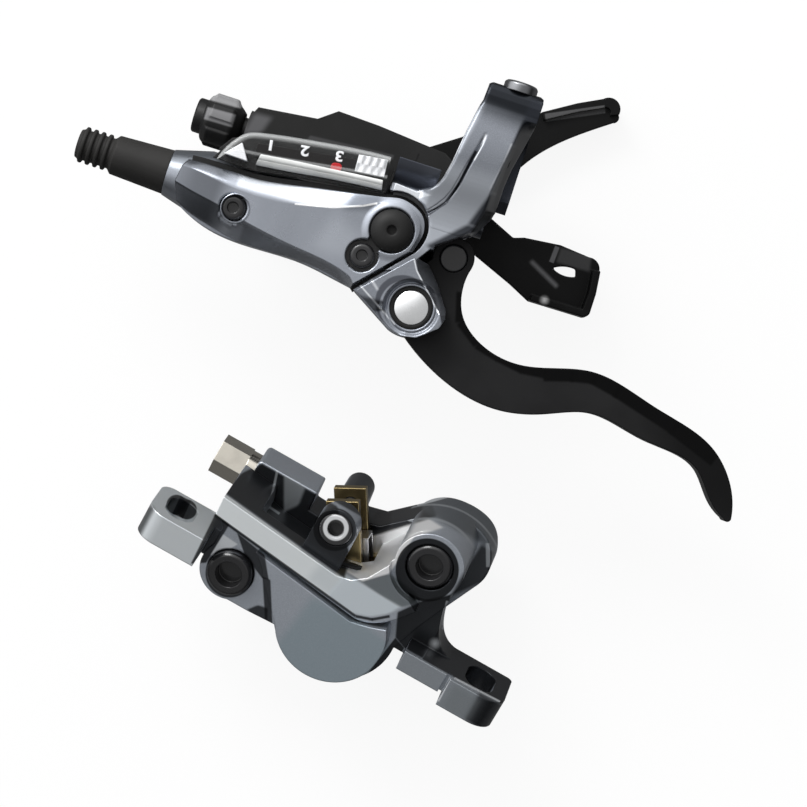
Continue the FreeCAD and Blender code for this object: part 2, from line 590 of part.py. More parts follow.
def master_cylinder():
    land = "bore_diameter / 2 - land_gap"
    root = "cup_root / 2"
    length = "piston_back - piston_front"
    rod = "rod_diameter / 2"
    turned("master_piston",
           [("0", "0"), (land, "0"), (land, "1.2"), (root, "1.2"), (root, "3.8"), (land, "3.8"), (land, "5.2"), ("3.3", "5.2"),
            ("3.3", f"{length} - 5.8"), (land, f"{length} - 5.8"), (land, f"{length} - 4.6"), (root, f"{length} - 4.6"),
            (root, f"{length} - 2"), (land, f"{length} - 2"), (land, length), (f"{rod} + 0.1", length),
            (f"{rod} + 0.1", f"{length} - 3"), ("0", f"{length} - 3")],
           at=("piston_front", *cylinder), turn=along_x)
    for label, start in (("primary_cup", "1.25"), ("secondary_cup", f"{length} - 4.55")):
        turned(label,
               [(f"{root} + 0.02", "0"), (f"{land} - 0.3", "0"), ("bore_diameter / 2 - 0.03", "0.5"),
                ("bore_diameter / 2 - 0.03", "1.1"), (f"{land} - 0.2", "2.5"), (f"{root} + 0.02", "2.5")],
               at=(f"piston_front + {start}", *cylinder), turn=along_x)
    turned("push_rod",
           [("0", "0"), (rod, "0"), (rod, "cross_pin_across - cross_pin_diameter / 2 - rod_gap - piston_back + 2.9"),
            ("0", "cross_pin_across - cross_pin_diameter / 2 - rod_gap - piston_back + 2.9")],
           at=("piston_back - 2.9", *cylinder), turn=along_x)
    coil("return_spring", "3.5", "spring_wire", "piston_front - bore_start - spring_wire - 0.3", "spring_turns",
         at=("bore_start + spring_wire / 2 + 0.15", *cylinder), turn=along_x)
    turned("piston_circlip",
           [("bore_diameter / 2 - 1.2", "0"), ("bore_diameter / 2 + 0.58", "0"),
            ("bore_diameter / 2 + 0.58", "circlip_wire"), ("bore_diameter / 2 - 1.2", "circlip_wire")],
           at=("circlip_start", *cylinder), turn=along_x)
    tube = "hose_bore / 2"
    turned("hose_nut",
           [(tube, "0"), ("hose_thread / 2 - 0.05", "0"), ("hose_thread / 2 - 0.05", "11.3"), (tube, "11.3")],
           at=("housing_left - 5.8", *cylinder), turn=along_x)
    turned("hose_olive",
           [(tube, "0"), ("hose_thread / 2 - 0.3", "0"), (f"{tube} + 0.4", "1.3"), (tube, "1.3")],
           at=("housing_left + 5.55", *cylinder), turn=along_x)
    ribs = []
    for place in (1.3, 3.0, 4.7, 6.4):
        ribs += [("boot_radius - 0.9", f"{place - 0.6}"), ("boot_radius - 0.25", f"{place - 0.3}"),
                 ("boot_radius - 0.25", f"{place + 0.3}"), ("boot_radius - 0.9", f"{place + 0.6}")]
    skirt = "housing_left - boot_end"
    turned("hose_boot",
           [(f"{tube} + 0.05", "0"), ("boot_radius - 1.2", "0"), *ribs, ("boot_radius - 0.8", "7.5"),
            ("boot_radius + 0.1", "8.3"), ("boot_foot_radius", skirt), ("hose_thread / 2", skirt),
            ("hose_thread / 2", f"{skirt} - 6"), (f"{tube} + 0.05", f"{skirt} - 6")],
           at=("boot_end", *cylinder), turn=along_x)


def brake_blade():
    blade = Piece("lever_blade")
    low = "cylinder_height - blade_height / 2"
    blade.pad("XY", low, "blade_height", outline(
        ("-1", "cross_pin_back + lobe_radius"),
        (("2.4", "cross_pin_back + 3"), ("3.4", "cross_pin_back - 0.6")),
        [("2.9", "-27.5"), ("4.6", "-33"), ("10", "-37.5"), ("20", "-39.2"), ("34.5", "-35.9"), ("50", "-39"),
         ("64.5", "-43.7"), ("69", "-48"), ("72.6", "-56.6")],
        (("72", "-57.5"), ("71", "-57.1")),
        [("67", "-54.2"), ("62.5", "-49"), ("50", "-46.4"), ("37", "-44.5"), ("27", "-48"), ("18", "-49.9"),
         ("6", "-47.8"), ("-6", "pivot_back - hub_radius")],
        (("pivot_across - hub_radius * 0.97", "pivot_back - 1.4"), ("pivot_across - 4.1", "pivot_back + 4.5")),
        ("cross_pin_across - lobe_radius * 0.95", "cross_pin_back - 1.4"),
        (("cross_pin_across - lobe_radius * 0.75", "cross_pin_back + 3"), ("-1", "cross_pin_back + lobe_radius"))))
    blade.cut("XY", "cylinder_height - 2.5", "5", outline(
        ("-16", "-29"), ("cross_pin_across - 0.4", "-29"), ("cross_pin_across - 0.4", "-14"), ("-16", "-14")))
    blade.cut("XY", "-20", "40", circles=[("pivot_across", "pivot_back", "pivot_diameter / 2 + turn_gap")])
    blade.cut("XY", "-20", "40", circles=[("cross_pin_across", "cross_pin_back", "cross_pin_diameter / 2 + 0.02")])
    blade.place()
    turned("cross_pin", [("0", "0"), ("cross_pin_diameter / 2", "0"), ("cross_pin_diameter / 2", "blade_height - 0.2"),
                         ("0", "blade_height - 0.2")],
           at=("cross_pin_across", "cross_pin_back", f"{low} + 0.1"))
    pin = "pivot_diameter / 2"
    turned("pivot_pin",
           [("0", "bracket_bottom - 1.4"), (pin, "bracket_bottom - 1.4"), (pin, "bracket_bottom - 0.9"),
            (f"{pin} - 0.7", "bracket_bottom - 0.9"), (f"{pin} - 0.7", "bracket_bottom - 0.1"),
            (pin, "bracket_bottom - 0.1"), (pin, "lug_top - 0.1"), (f"{pin} - 0.3", "lug_top + 0.2"), ("0", "lug_top + 0.2")],
           at=("pivot_across", "pivot_back", "0"))
    turned("pivot_clip",
           [(f"{pin} - 0.68", "bracket_bottom - 0.85"), (f"{pin} + 1.6", "bracket_bottom - 0.85"),
            (f"{pin} + 1.6", "bracket_bottom - 0.15"), (f"{pin} - 0.68", "bracket_bottom - 0.15")],
           at=("pivot_across", "pivot_back", "0"))
    gap = "(blade_height / 2 + blade_gap)"
    bushes = []
    for side, start, end in (("upper", f"cylinder_height + {gap}", "lug_top"),
                             ("lower", "bracket_bottom", f"cylinder_height - {gap}")):
        bushes.append(turned(
            f"pivot_bush_{side}",
            [(f"{pin} + 0.02", start), ("bush_diameter / 2 - 0.01", start), ("bush_diameter / 2 - 0.01", end),
             (f"{pin} + 0.02", end)],
            at=("pivot_across", "pivot_back", "0")))
    group("pivot_bushes", bushes)


lever_housing()
clamp_parts()
reservoir()
master_cylinder()
brake_blade()


axle = ("axle_across", "axle_back")


def pod_outline():
    return outline(
        ("-53.1", "-5.3"), ("-51.9", "-2.8"), ("-38.8", "-1.2"), ("-34.9", "1.8"), ("-25.5", "1.5"), ("-9.7", "0.2"),
        ("pod_right", "-1.8"), ("pod_right", "-15.6"), ("-12.2", "-15.6"), ("-40.9", "-15.5"), ("-53.1", "-14.5"))


def inside(edges, wall):
    """The same outline, moved inwards by a wall's thickness, with sharp corners."""
    wire = Part.Wire([edge.toShape() for edge in edges])
    moved = wire.makeOffset2D(-val(wall), 2)
    return [Part.LineSegment(edge.Vertexes[0].Point, edge.Vertexes[-1].Point) for edge in moved.Edges]


def window_outline():
    return outline(
        ("-56.2", "-17.6"), ("-53.6", "-13.2"), ("-49.7", "-10.5"), ("-34.5", "-8.1"), ("-20.3", "-6.3"),
        ("-18.8", "-8.1"), ("-18.9", "-13.6"), ("-29.6", "-15.0"), ("-41.4", "-16.7"), ("-47.3", "-17.7"))


def shifter():
    pod = Piece("shifter_housing")
    pod.pad("XY", "pod_bottom", "pod_top - pod_bottom", pod_outline())
    pod.cut("XY", "pod_bottom", "pod_top - pod_bottom - pod_wall", inside(pod_outline(), "pod_wall"))
    pod.pad("YZ", "-53.4", "6", circles=[("adjuster_back", "adjuster_height", "adjuster_thread / 2 + 1.8")])
    for across, back in (("-47.5", "-12.5"), ("-31", "-3.4"), ("-30", "-12.8")):
        pod.pad("XY", "pod_bottom", "pod_top - pod_bottom - 1", circles=[(across, back, "2.4")])
        pod.cut("XY", "pod_bottom", "8", circles=[(across, back, "1.22")])
    pod.pad("XY", "pod_top - 1", "window_floor - pod_top + 1", outline(
        ("-55.6", "-15.5"), ("-53.5", "-12.4"), ("-47.3", "-9.8"), ("-20.1", "-6.5"), ("-18.9", "-7.9"), ("-19.0", "-13.2"),
        ("-29.6", "-14.7"), ("-41.4", "-15.4")))
    pod.pad("XY", "tray_top + 0.4", "window_floor - tray_top - 0.4", window_outline())
    pod.pad("XY", "foot_bottom - 3.4", "3.4", box_edges("-11.5", "-22.5", "-2", "-15"))
    pod.cut("YZ", "-70", "80", circles=[("0", "0", "bar_room")])
    pod.cut("YZ", "-55.4", "12", circles=[("adjuster_back", "adjuster_height", "adjuster_thread / 2 + 0.02")])
    pod.cut("XY", "-40", "40", circles=[(*axle, "axle_diameter / 2 + 0.02")])
    pod.cut("XY", "-20", "20", circles=[("mount_screw_across", "mount_screw_back", "mount_screw_thread / 2 + 0.15")])
    pod.cut("XY", "main_top - plate_thick - 0.7", "release_top - main_top + plate_thick + 1.4",
            box_edges("-18", "-18", "0", "3"))
    pod.place()
    cover = Piece("shifter_cover")
    cover.pad("XY", "pod_bottom - cover_thick", "cover_thick", pod_outline())
    cover.dress("Chamfer", "0.8", lambda edge: edge.BoundBox.ZMax < val("pod_bottom - cover_thick") + 0.01)
    cover.cut("XY", "-40", "40", circles=[(*axle, "axle_diameter / 2 + 0.02")])
    cover.cut("XY", "pod_bottom - cover_thick", "1.2", circles=[(*axle, "4.3")])
    for across, back in (("-47.5", "-12.5"), ("-31", "-3.4"), ("-30", "-12.8")):
        cover.cut("XY", "-40", "20", circles=[(across, back, "1.4")])
        cover.cut("XY", "pod_bottom - cover_thick", "1.2", circles=[(across, back, "2.5")])
    cover.place()
    screws = []
    for number, (across, back) in enumerate((("-47.5", "-12.5"), ("-31", "-3.4"), ("-30", "-12.8")), start=1):
        screws.append(turned(f"shifter_screw_{number}",
                             [("0", "0.2"), ("2.3", "0.2"), ("2.3", "1.2"), ("1.2", "1.2"), ("1.2", "8.5"), ("0", "8.5")],
                             at=(across, back, "pod_bottom - cover_thick")))
    screws.append(turned("shifter_mount_screw",
                         [("0", "0"), ("3.4", "0"), ("3.4", "2.4"), ("mount_screw_thread / 2", "2.4"),
                          ("mount_screw_thread / 2", "9.6"), ("0", "9.6")],
                         at=("mount_screw_across", "mount_screw_back", "foot_bottom - 5.8")))
    group("shifter_screws", screws)
    turned("shift_axle",
           [("0", "pod_bottom - cover_thick + 0.1"), ("4.1", "pod_bottom - cover_thick + 0.1"),
            ("4.1", "pod_bottom - cover_thick + 1.2"), ("axle_diameter / 2", "pod_bottom - cover_thick + 1.2"),
            ("axle_diameter / 2", "pod_top - 0.1"), ("0", "pod_top - 0.1")], at=(*axle, "0"))
    turned("shift_axle_ring",
           [("axle_diameter / 2 + 0.02", "pod_top - pod_wall - 0.8"), ("4", "pod_top - pod_wall - 0.8"),
            ("4", "pod_top - pod_wall"), ("axle_diameter / 2 + 0.02", "pod_top - pod_wall")], at=(*axle, "0"))
    free = "axle_diameter / 2 + turn_gap"
    turned("cable_drum",
           [(free, "drum_top - drum_thick"), ("drum_radius", "drum_top - drum_thick"), ("drum_radius", "drum_top - 3.2"),
            ("drum_radius - 1.3", "drum_top - 2.3"), ("drum_radius", "drum_top - 1.4"), ("drum_radius", "drum_top"),
            (free, "drum_top")], at=(*axle, "0"))
    release = Piece("release_lever")
    release.pad("XY", "release_top - plate_thick", "plate_thick", outline(
        ("-14.4", "-0.8"), (("-20.0", "-6.4"), ("-14.4", "-12.0")), ("-5.1", "-15.3"), ("3.8", "-18.8"), ("12.5", "-22.3"),
        ("17.6", "-24.7"), ("29.6", "-24.5"), (("30.9", "-24.0"), ("31.3", "-22.7")), ("31.3", "-18.8"), ("30.7", "-13.6"),
        (("29.8", "-11.8"), ("27.6", "-11.2")), ("20.7", "-10.6"), ("12.5", "-11.5"), ("10.2", "-12.3"), ("4.2", "-9.7"),
        ("-5.1", "-4.5")))
    release.pad("XY", "release_top - 0.01", "5", outline(
        ("17.6", "-24.7"), ("29.6", "-24.5"), (("30.9", "-24.0"), ("31.3", "-22.7")), ("31.3", "-18.8"), ("30.7", "-13.6"),
        ("29.0", "-13.8"), ("29.6", "-18.8"), ("29.4", "-22.8"), ("18.0", "-23.1")))
    release.cut("XY", "-40", "40", outline(
        ("20.7", "-15.9"), (("22.8", "-14.9"), ("25.5", "-14.7")), ("26.0", "-16.3"), (("23.8", "-16.8"), ("21.2", "-16.3"))))
    release.cut("XY", "-40", "40", circles=[(*axle, free)])
    release.place()
    thumb = Piece("main_lever")
    thumb.pad("XY", "main_top - plate_thick", "plate_thick", outline(
        ("-9.3", "-9.2"), (("-19.7", "-9.2"), ("-17.1", "-0.9")), ("-6.2", "6.8"), ("7.6", "16.4"), ("14.6", "20.8"), ("19.8", "23.5"),
        (("23.0", "23.9"), ("24.2", "21.2")), (("24.5", "20.2"), ("23.6", "19.3")),
        [("16.7", "14.1"), ("10.9", "8.7"), ("6.7", "2.9")]))
    thumb.pad("XY", "main_top - plate_thick - 3.4", "6.9", outline(
        ("7.6", "16.4"), ("14.6", "20.8"), ("19.8", "23.5"), (("23.0", "23.9"), ("24.2", "21.2")), ("22.3", "20.4"),
        (("21.7", "21.8"), ("20.3", "21.5")), ("15.5", "19.1"), ("8.6", "14.9")))
    thumb.cut("XY", "-40", "40", circles=[(*axle, free)])
    thumb.place()
    turned("barrel_adjuster",
           [("0.9", "5"), ("cable_bore / 2", "5"), ("cable_bore / 2", "0"), ("3.6", "0"), ("3.9", "0.3"), ("3.9", "1.8"),
            ("adjuster_radius - 0.5", "2.3"), ("adjuster_radius", "3"), ("adjuster_radius", "8.4"),
            ("adjuster_radius - 0.6", "9.2"), ("3.4", "10.8"), ("adjuster_thread / 2 - 0.05", "10.8"),
            ("adjuster_thread / 2 - 0.05", "16.4"), ("0.9", "16.4")],
           at=("adjuster_end", "adjuster_back", "adjuster_height"), turn=along_x)
    cap = Piece("indicator_window")
    cap.pad("XY", "window_floor", "window_top - window_floor", window_outline())
    cap.cut("XY", "window_floor", "window_top - window_floor - window_wall", inside(window_outline(), "window_wall"))
    cap.place()
    plate = Piece("indicator_plate")
    plate.pad("XY", "window_floor", "1.4", outline(("-48.0", "-11.9"), ("-23.7", "-8.2"), ("-23.7", "-11.5"), ("-48.0", "-14.3")))
    plate.place()
    strips = Piece("indicator_diffuser")
    strips.pad("XY", "window_floor", "1", outline(("-46.0", "-16.3"), ("-47.0", "-14.6"), ("-20.1", "-11.5"), ("-20.1", "-12.6"),
                                                  ("-29.7", "-13.8"), ("-41.5", "-15.5")))
    strips.place()
    mark = Piece("indicator_reflector")
    mark.pad("XY", "window_floor", "3", outline(("-51.0", "-12.9"), ("-48.8", "-16.3"), ("-54.0", "-16.2")))
    mark.place()
    needle = Piece("indicator_needle")
    needle.pad("XY", "window_floor + 1.55", "0.6", outline(
        ("-31.7", "-12.0"), (("-31.5", "-11.1"), ("-30.6", "-10.8")), (("-29.6", "-11.0"), ("-29.5", "-11.9")),
        (("-29.9", "-12.6"), ("-30.6", "-12.7")), (("-31.4", "-12.6"), ("-31.7", "-12.0"))))
    needle.place()


def caliper_turned(label, profile, at, turn=upright):
    return turned(label, profile, at, turn, caliper_pose)


def pad_point(across, up):
    """A point given in the pads' own directions, set round the piston's centre."""
    return (f"piston_across + ({across}) * cos(pad_turn) - ({up}) * sin(pad_turn)",
            f"({across}) * sin(pad_turn) + ({up}) * cos(pad_turn)")


def pad_outline(radius, top, eye_half, eye_top):
    """Rounded below, straight sides, and an eye that hangs on the axle."""
    low = f"({radius})"
    return outline(
        pad_point(low, top), pad_point(low, 0), (pad_point(0, f"-{low}"), pad_point(f"-{low}", 0)), pad_point(f"-{low}", top),
        pad_point(f"1.44 - ({eye_half})", top), pad_point(f"1.44 - ({eye_half})", eye_top),
        pad_point(f"1.44 + ({eye_half})", eye_top), pad_point(f"1.44 + ({eye_half})", top))


def caliper_halves():
    outer = Piece("caliper_outer_half")
    front = "core_front - split_plane"
    outer.pad("XY", "split_plane", front, outline(
        ("-29.8", "9.2"), ("-30.2", "14.5"), ("-1", "11.4"), ("2.2", "12.2"), ("5", "14.6"), ("8.0", "20.4"),
        (("right_bolt_across", "right_bolt_up + 7.6"), ("right_bolt_across + 7.6", "right_bolt_up")),
        ("22.6", "15.5"), ("19.6", "8"), ("piston_across + housing_radius", "1"),
        (("piston_across", "-housing_radius"), ("piston_across - 11.2", "-8.06")), ("-14", "-8.4"), ("-19.2", "-8.4"),
        (("-28.1", "-4"), ("-27.4", "1.4")), ("-27.4", "6")))
    outer.pad("XY", "core_front", "rail_front - core_front", outline(
        ("-30", "9.8"), ("-30.2", "14.5"), ("-1", "11.4"), ("2.2", "12.2"), ("5", "14.6"), ("8.0", "20.4"), ("11", "17"),
        ("17.4", "13"), [("14.5", "9.2"), ("10.4", "5.8"), ("6.4", "4.8")]))
    outer.pad("XY", "core_front", "boss_front - core_front", circles=[("right_bolt_across", "right_bolt_up", "7.6")])
    outer.cut("XY", "boss_front", "5", circles=[("right_bolt_across", "right_bolt_up", "8.2")])
    outer.pad("XY", "core_front", "face_front - core_front", outline(
        ("-18.5", "7.4"), ("6.2", "4.0"), [("10.2", "5.0"), ("14.0", "6.4")],
        (("piston_across + face_radius * 0.5", "-face_radius * 0.866"), ("piston_across - 11.0", "-5.28")),
        ("-13.6", "1.6"), ("-16", "5")))
    half = "post_pitch / 2"
    ear = {"level": "ear_top", "length": "ear_thick"}
    outer.pad("XZ", ear["level"], ear["length"], outline(
        ("-29", "ear_far"), (f"-{half} - 3.4", "ear_far"), ((f"-{half} - 5.6", "ear_far + 0.9"), (f"-{half} - 6.4", "ear_far + 3.2")),
        (f"-{half} - 6.4", "ear_near - 4.4"), ((f"-{half} - 5", "ear_near - 1.2"), (f"-{half} - 2", "ear_near")),
        ("-29", "ear_near")), back=True)
    outer.pad("XZ", ear["level"], ear["length"], box_edges("-30", "ear_far", "-24", "core_front - 0.5"), back=True)
    outer.pad("XZ", ear["level"], ear["length"], outline(
        ("31", "ear_far"), (f"{half} + 5.4", "ear_far"), ((f"{half} + 6.3", "ear_far + 0.4"), (f"{half} + 6.6", "ear_far + 1.4")),
        (f"{half} + 6.6", "ear_near - 4.4"), ((f"{half} + 4.8", "ear_near - 1.2"), (f"{half} + 1.6", "ear_near")),
        ("31", "ear_near")), back=True)
    outer.pad("XZ", ear["level"], "4.6", outline(
        ("15", "ear_far"), ("31.5", "ear_far"), ("31.5", "ear_near - 2.6"), ("30", "ear_near - 2.6"), ("30", "ear_near - 1.2"),
        ("19.8", "ear_near - 1.2"), ("19.8", "core_front - 2"), ("15", "core_front - 2")), back=True)
    outer.pad("XY", "ear_far", "core_front - ear_far - 1", outline(
        ("18", "12"), ("22.2", "15.5"), [("23.4", "11.2"), ("25.2", "7.4"), ("29.4", "ear_top")], ("29.4", "2"), ("17", "2")))
    for side in ("left", "right"):
        outer.cut("XY", "body_bolt_seat", "12", circles=[(f"{side}_bolt_across", f"{side}_bolt_up", "body_bolt_head / 2 + 0.3")])
    outer.cut("XY", "-slot_half", "2 * slot_half", circles=[("rotor_across", "rotor_down", "rotor_radius + rotor_room")])
    outer.cut("XY", "split_plane", "pad_front + lining_thick + plate_steel + 0.02 - split_plane",
              pad_outline("pad_radius + pad_room", "10.6", "6.4", "40"))
    outer.cut("XY", "split_plane", "rail_back - split_plane", outline(
        ("-24.4", "22"), ("-21", "10.2"), ("-17.6", "9.4"), ("-9", "8.6"), ("-2.4", "9.4"), ("1.4", "22")))
    outer.pad("XY", "rail_back - 2", "boss_front - rail_back + 1.9", outline(
        ("-10.5", "11.5"), ("-10.6", "pad_eye_up"), (("-6", "pad_eye_up + 4.6"), ("-1.4", "pad_eye_up")), ("-1.2", "11")))
    bore = "piston_diameter / 2 + piston_gap"
    outer.cut("XY", "0", "bore_bottom", circles=[("piston_across", "0", bore)])
    outer.cut("XY", "seal_start", "seal_thick", circles=[("piston_across", "0", "piston_diameter / 2 + seal_depth")])
    for side in ("left", "right"):
        outer.cut("XY", "-10", "30", circles=[(f"{side}_bolt_across", f"{side}_bolt_up", "body_bolt_diameter / 2 + 0.1")])
    eye = ("pad_eye_across", "pad_eye_up")
    outer.cut("XY", "0", "30", circles=[(*eye, "pad_axle_diameter / 2 + 0.03")])
    outer.cut("XY", "boss_front - 2.6", "5", circles=[(*eye, "3.75")])
    for middle in (f"-{half}", half):
        reach = "(ear_slot_length - ear_slot_width) / 2"
        width = "ear_slot_width / 2"
        outer.cut("XZ", "20", "40", outline(
            (f"{middle} - {width}", f"ear_slot_mid - {reach}"), (f"{middle} - {width}", f"ear_slot_mid + {reach}"),
            ((middle, f"ear_slot_mid + {reach} + {width}"), (f"{middle} + {width}", f"ear_slot_mid + {reach}")),
            (f"{middle} + {width}", f"ear_slot_mid - {reach}"),
            ((middle, f"ear_slot_mid - {reach} - {width}"), (f"{middle} - {width}", f"ear_slot_mid - {reach}"))), back=True)
    outer.cut("XY", "split_plane", "8", circles=[("-16", "4.4", "0.9")])
    outer.place(frame=caliper_pose)

    inner = Piece("caliper_inner_half")
    rear = outline(
        ("-27.8", "3.5"), ("-28", "16.4"), ("-27.4", "17"), ("-13.5", "17"), ("-13.2", "12.4"), ("-9.4", "12.2"),
        ("-9.2", "pad_eye_up"), (("pad_eye_across", "pad_eye_up + 3.2"), ("-2.8", "pad_eye_up")), ("-2.4", "16.2"),
        ("2", "17.4"), ("8", "23.4"), [("12", "27.4"), ("17", "28.6"), ("23", "27.6"), ("26.4", "24.2")],
        [("27.6", "20.6"), ("26.6", "15.6")], ("22.6", "6.2"), ("19.4", "2"),
        ("piston_across + housing_radius", "0"),
        (("piston_across", "-housing_radius"), ("piston_across - 11.2", "-8.06")), ("-14", "-8.4"), ("-19.2", "-8.4"),
        (("-28.1", "-4"), ("-27.4", "1.4")))
    inner.pad("XY", "back_face", "split_plane - back_face", rear)
    inner.cut("XY", "split_plane", "bore_bottom - 1 + split_plane", circles=[("piston_across", "0", bore)], back=True)
    inner.cut("XY", "-seal_start", "seal_thick", circles=[("piston_across", "0", "piston_diameter / 2 + seal_depth")], back=True)
    for side in ("left", "right"):
        inner.cut("XY", "split_plane", "8.4", circles=[(f"{side}_bolt_across", f"{side}_bolt_up", "body_bolt_diameter / 2 + 0.02")],
                  back=True)
    inner.cut("XY", "split_plane", "7.4", circles=[(*eye, "pad_axle_diameter / 2 + 0.02")], back=True)
    inner.cut("XY", "split_plane", "0.8", circles=[("-16", "4.4", "2.3")], back=True)
    inner.cut("XY", "split_plane", "6", circles=[("-16", "4.4", "0.9")], back=True)
    inner.cut("YZ", "-28.2", "9.2", circles=[("fitting_up", "fitting_depth", "fitting_thread / 2 + 0.02")])
    inner.cut("XY", "back_face", "4", circles=[("19.6", "17", "3.02")])
    inner.place(frame=caliper_pose)


def caliper_parts():
    bolts = []
    for side in ("left", "right"):
        radius = "body_bolt_diameter / 2"
        head = "body_bolt_head / 2"
        bolts.append(caliper_turned(
            f"body_bolt_{side}",
            [("0", "split_plane - 8"), (radius, "split_plane - 8"), (radius, "body_bolt_seat"), (head, "body_bolt_seat"),
             (head, "body_bolt_seat + body_bolt_head_height - 0.6"), (f"{head} - 0.6", "body_bolt_seat + body_bolt_head_height"),
             ("2.9", "body_bolt_seat + body_bolt_head_height"), ("2.9", "body_bolt_seat + body_bolt_head_height - 3"),
             ("0", "body_bolt_seat + body_bolt_head_height - 3")],
            at=(f"{side}_bolt_across", f"{side}_bolt_up", "0")))
    group("body_bolts", bolts)
    caliper_turned("fluid_port_seal", [("1.1", "0"), ("2.25", "0"), ("2.25", "0.8"), ("1.1", "0.8")],
                   at=("-16", "4.4", "split_plane - 0.8"))
    piston = "piston_diameter / 2"
    back = "pad_front + lining_thick + plate_steel"
    for side, turn, depth in (("outer", upright, "bore_bottom - 0.9"), ("inner", upside_down, "bore_bottom - 1.9")):
        caliper_turned(f"{side}_piston",
                       [("0", f"{back} + 4"), (f"{piston} - 3", f"{back} + 4"), (f"{piston} - 3", back), (piston, back),
                        (piston, f"{depth} - 0.6"), (f"{piston} - 0.6", depth), ("0", depth)],
                       at=("piston_across", "0", "0"), turn=turn)
    seals = []
    for side, start in (("outer", "seal_start"), ("inner", "-seal_start - seal_thick")):
        seals.append(caliper_turned(
            f"piston_seal_{side}",
            [(f"{piston} + piston_gap", "0.02"), ("piston_diameter / 2 + seal_depth - 0.02", "0.02"),
             ("piston_diameter / 2 + seal_depth - 0.02", "seal_thick - 0.02"), (f"{piston} + piston_gap", "seal_thick - 0.02")],
            at=("piston_across", "0", start)))
    group("piston_seals", seals)
    for side, sign in (("outer", 1), ("inner", -1)):
        plate = Piece(f"{side}_pad_plate")
        level = "pad_front + lining_thick"
        edges = pad_outline("pad_radius", "9.6", "3.6", "25.3")
        start = level if sign > 0 else f"-({level})"
        plate.pad("XY", start, "plate_steel", edges, back=sign < 0)
        plate.cut("XY", "-10", "20", circles=[("pad_eye_across", "pad_eye_up", "pad_axle_diameter / 2 + 0.15")])
        plate.place(frame=caliper_pose)
        lining = Piece(f"{side}_pad_lining")
        block = outline(pad_point("pad_radius - 1.2", "8.4"), pad_point("pad_radius - 1.2", 0),
                        (pad_point(0, "1.2 - pad_radius"), pad_point("1.2 - pad_radius", 0)), pad_point("1.2 - pad_radius", "8.4"))
        start = "pad_front" if sign > 0 else "-pad_front"
        lining.pad("XY", start, "lining_thick", block, back=sign < 0)
        lining.place(frame=caliper_pose)
    leaf = Piece("pad_spring")
    strip = outline(pad_point("-3.4", "15.4"), pad_point("-3.4", "15.9"), pad_point("6.2", "15.9"), pad_point("6.2", "15.4"))
    leaf.pad("XY", "-2.6", "5.2", strip)
    for low in ("-2.6", "2.1"):
        leaf.pad("XY", low, "0.5", outline(pad_point("-3.4", "9.8"), pad_point("-3.4", "15.6"), pad_point("6.2", "15.6"),
                                           pad_point("6.2", "9.8")))
    leaf.place(frame=caliper_pose)
    radius = "pad_axle_diameter / 2"
    caliper_turned("pad_axle",
                   [("0", "split_plane - 7.2"), (radius, "split_plane - 7.2"), (radius, "-7"), (f"{radius} - 0.4", "-7"),
                    (f"{radius} - 0.4", "-6.4"), (radius, "-6.4"), (radius, "boss_front - 2.6"), ("3.7", "boss_front - 2.6"),
                    ("3.7", "boss_front - 0.2"), ("3.3", "boss_front + 0.2"), ("1.8", "boss_front + 0.2"),
                    ("1.8", "boss_front - 1.8"), ("0", "boss_front - 1.8")],
                   at=("pad_eye_across", "pad_eye_up", "0"))
    fitting = Piece("hose_fitting")
    axis = ("fitting_up", "fitting_depth")
    fitting.pad("YZ", "-37", "6.8", hexagon("fitting_hex", axis))
    fitting.pad("YZ", "-30.2", "2.2", circles=[(*axis, "fitting_hex / 2 + 0.3")])
    fitting.pad("YZ", "-28", "8.4", circles=[(*axis, "fitting_thread / 2")])
    fitting.cut("YZ", "-37", "12", circles=[(*axis, "hose_bore / 2")])
    fitting.cut("YZ", "-37", "20", circles=[(*axis, "0.9")])
    fitting.place(frame=caliper_pose)
    caliper_turned("bleed_nipple",
                   [("0", "-back_face - 3.8"), ("3", "-back_face - 3.8"), ("3", "-back_face"), ("3.6", "-back_face"),
                    ("3.6", "-back_face + 2.6"), ("2.2", "-back_face + 3.2"), ("2.5", "-back_face + 5.6"), ("0", "-back_face + 5.6")],
                   at=("19.6", "17", "0"), turn=upside_down)


shifter()
caliper_halves()
caliper_parts()
doc.recompute()
faults = [thing.Name for thing in doc.Objects if "Invalid" in thing.State or "Error" in thing.State]
faults += [label for label, thing in parts.items() if thing.Shape.isNull() or not thing.Shape.isValid()]
if faults:
    raise RuntimeError("not built: " + ", ".join(faults))
os.makedirs("parts", exist_ok=True)
for label, thing in parts.items():
    thing.Shape.exportStep(f"parts/{label}.step")
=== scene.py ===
# Flat-bar hydraulic brake lever with its shifter, and the caliper it works.
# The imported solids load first; then each piece gets its finish, and the worked ones are rebuilt.
import json
import math

import bmesh
import bpy
import numpy as np
from mathutils import Matrix, Vector
from mathutils.bvhtree import BVHTree


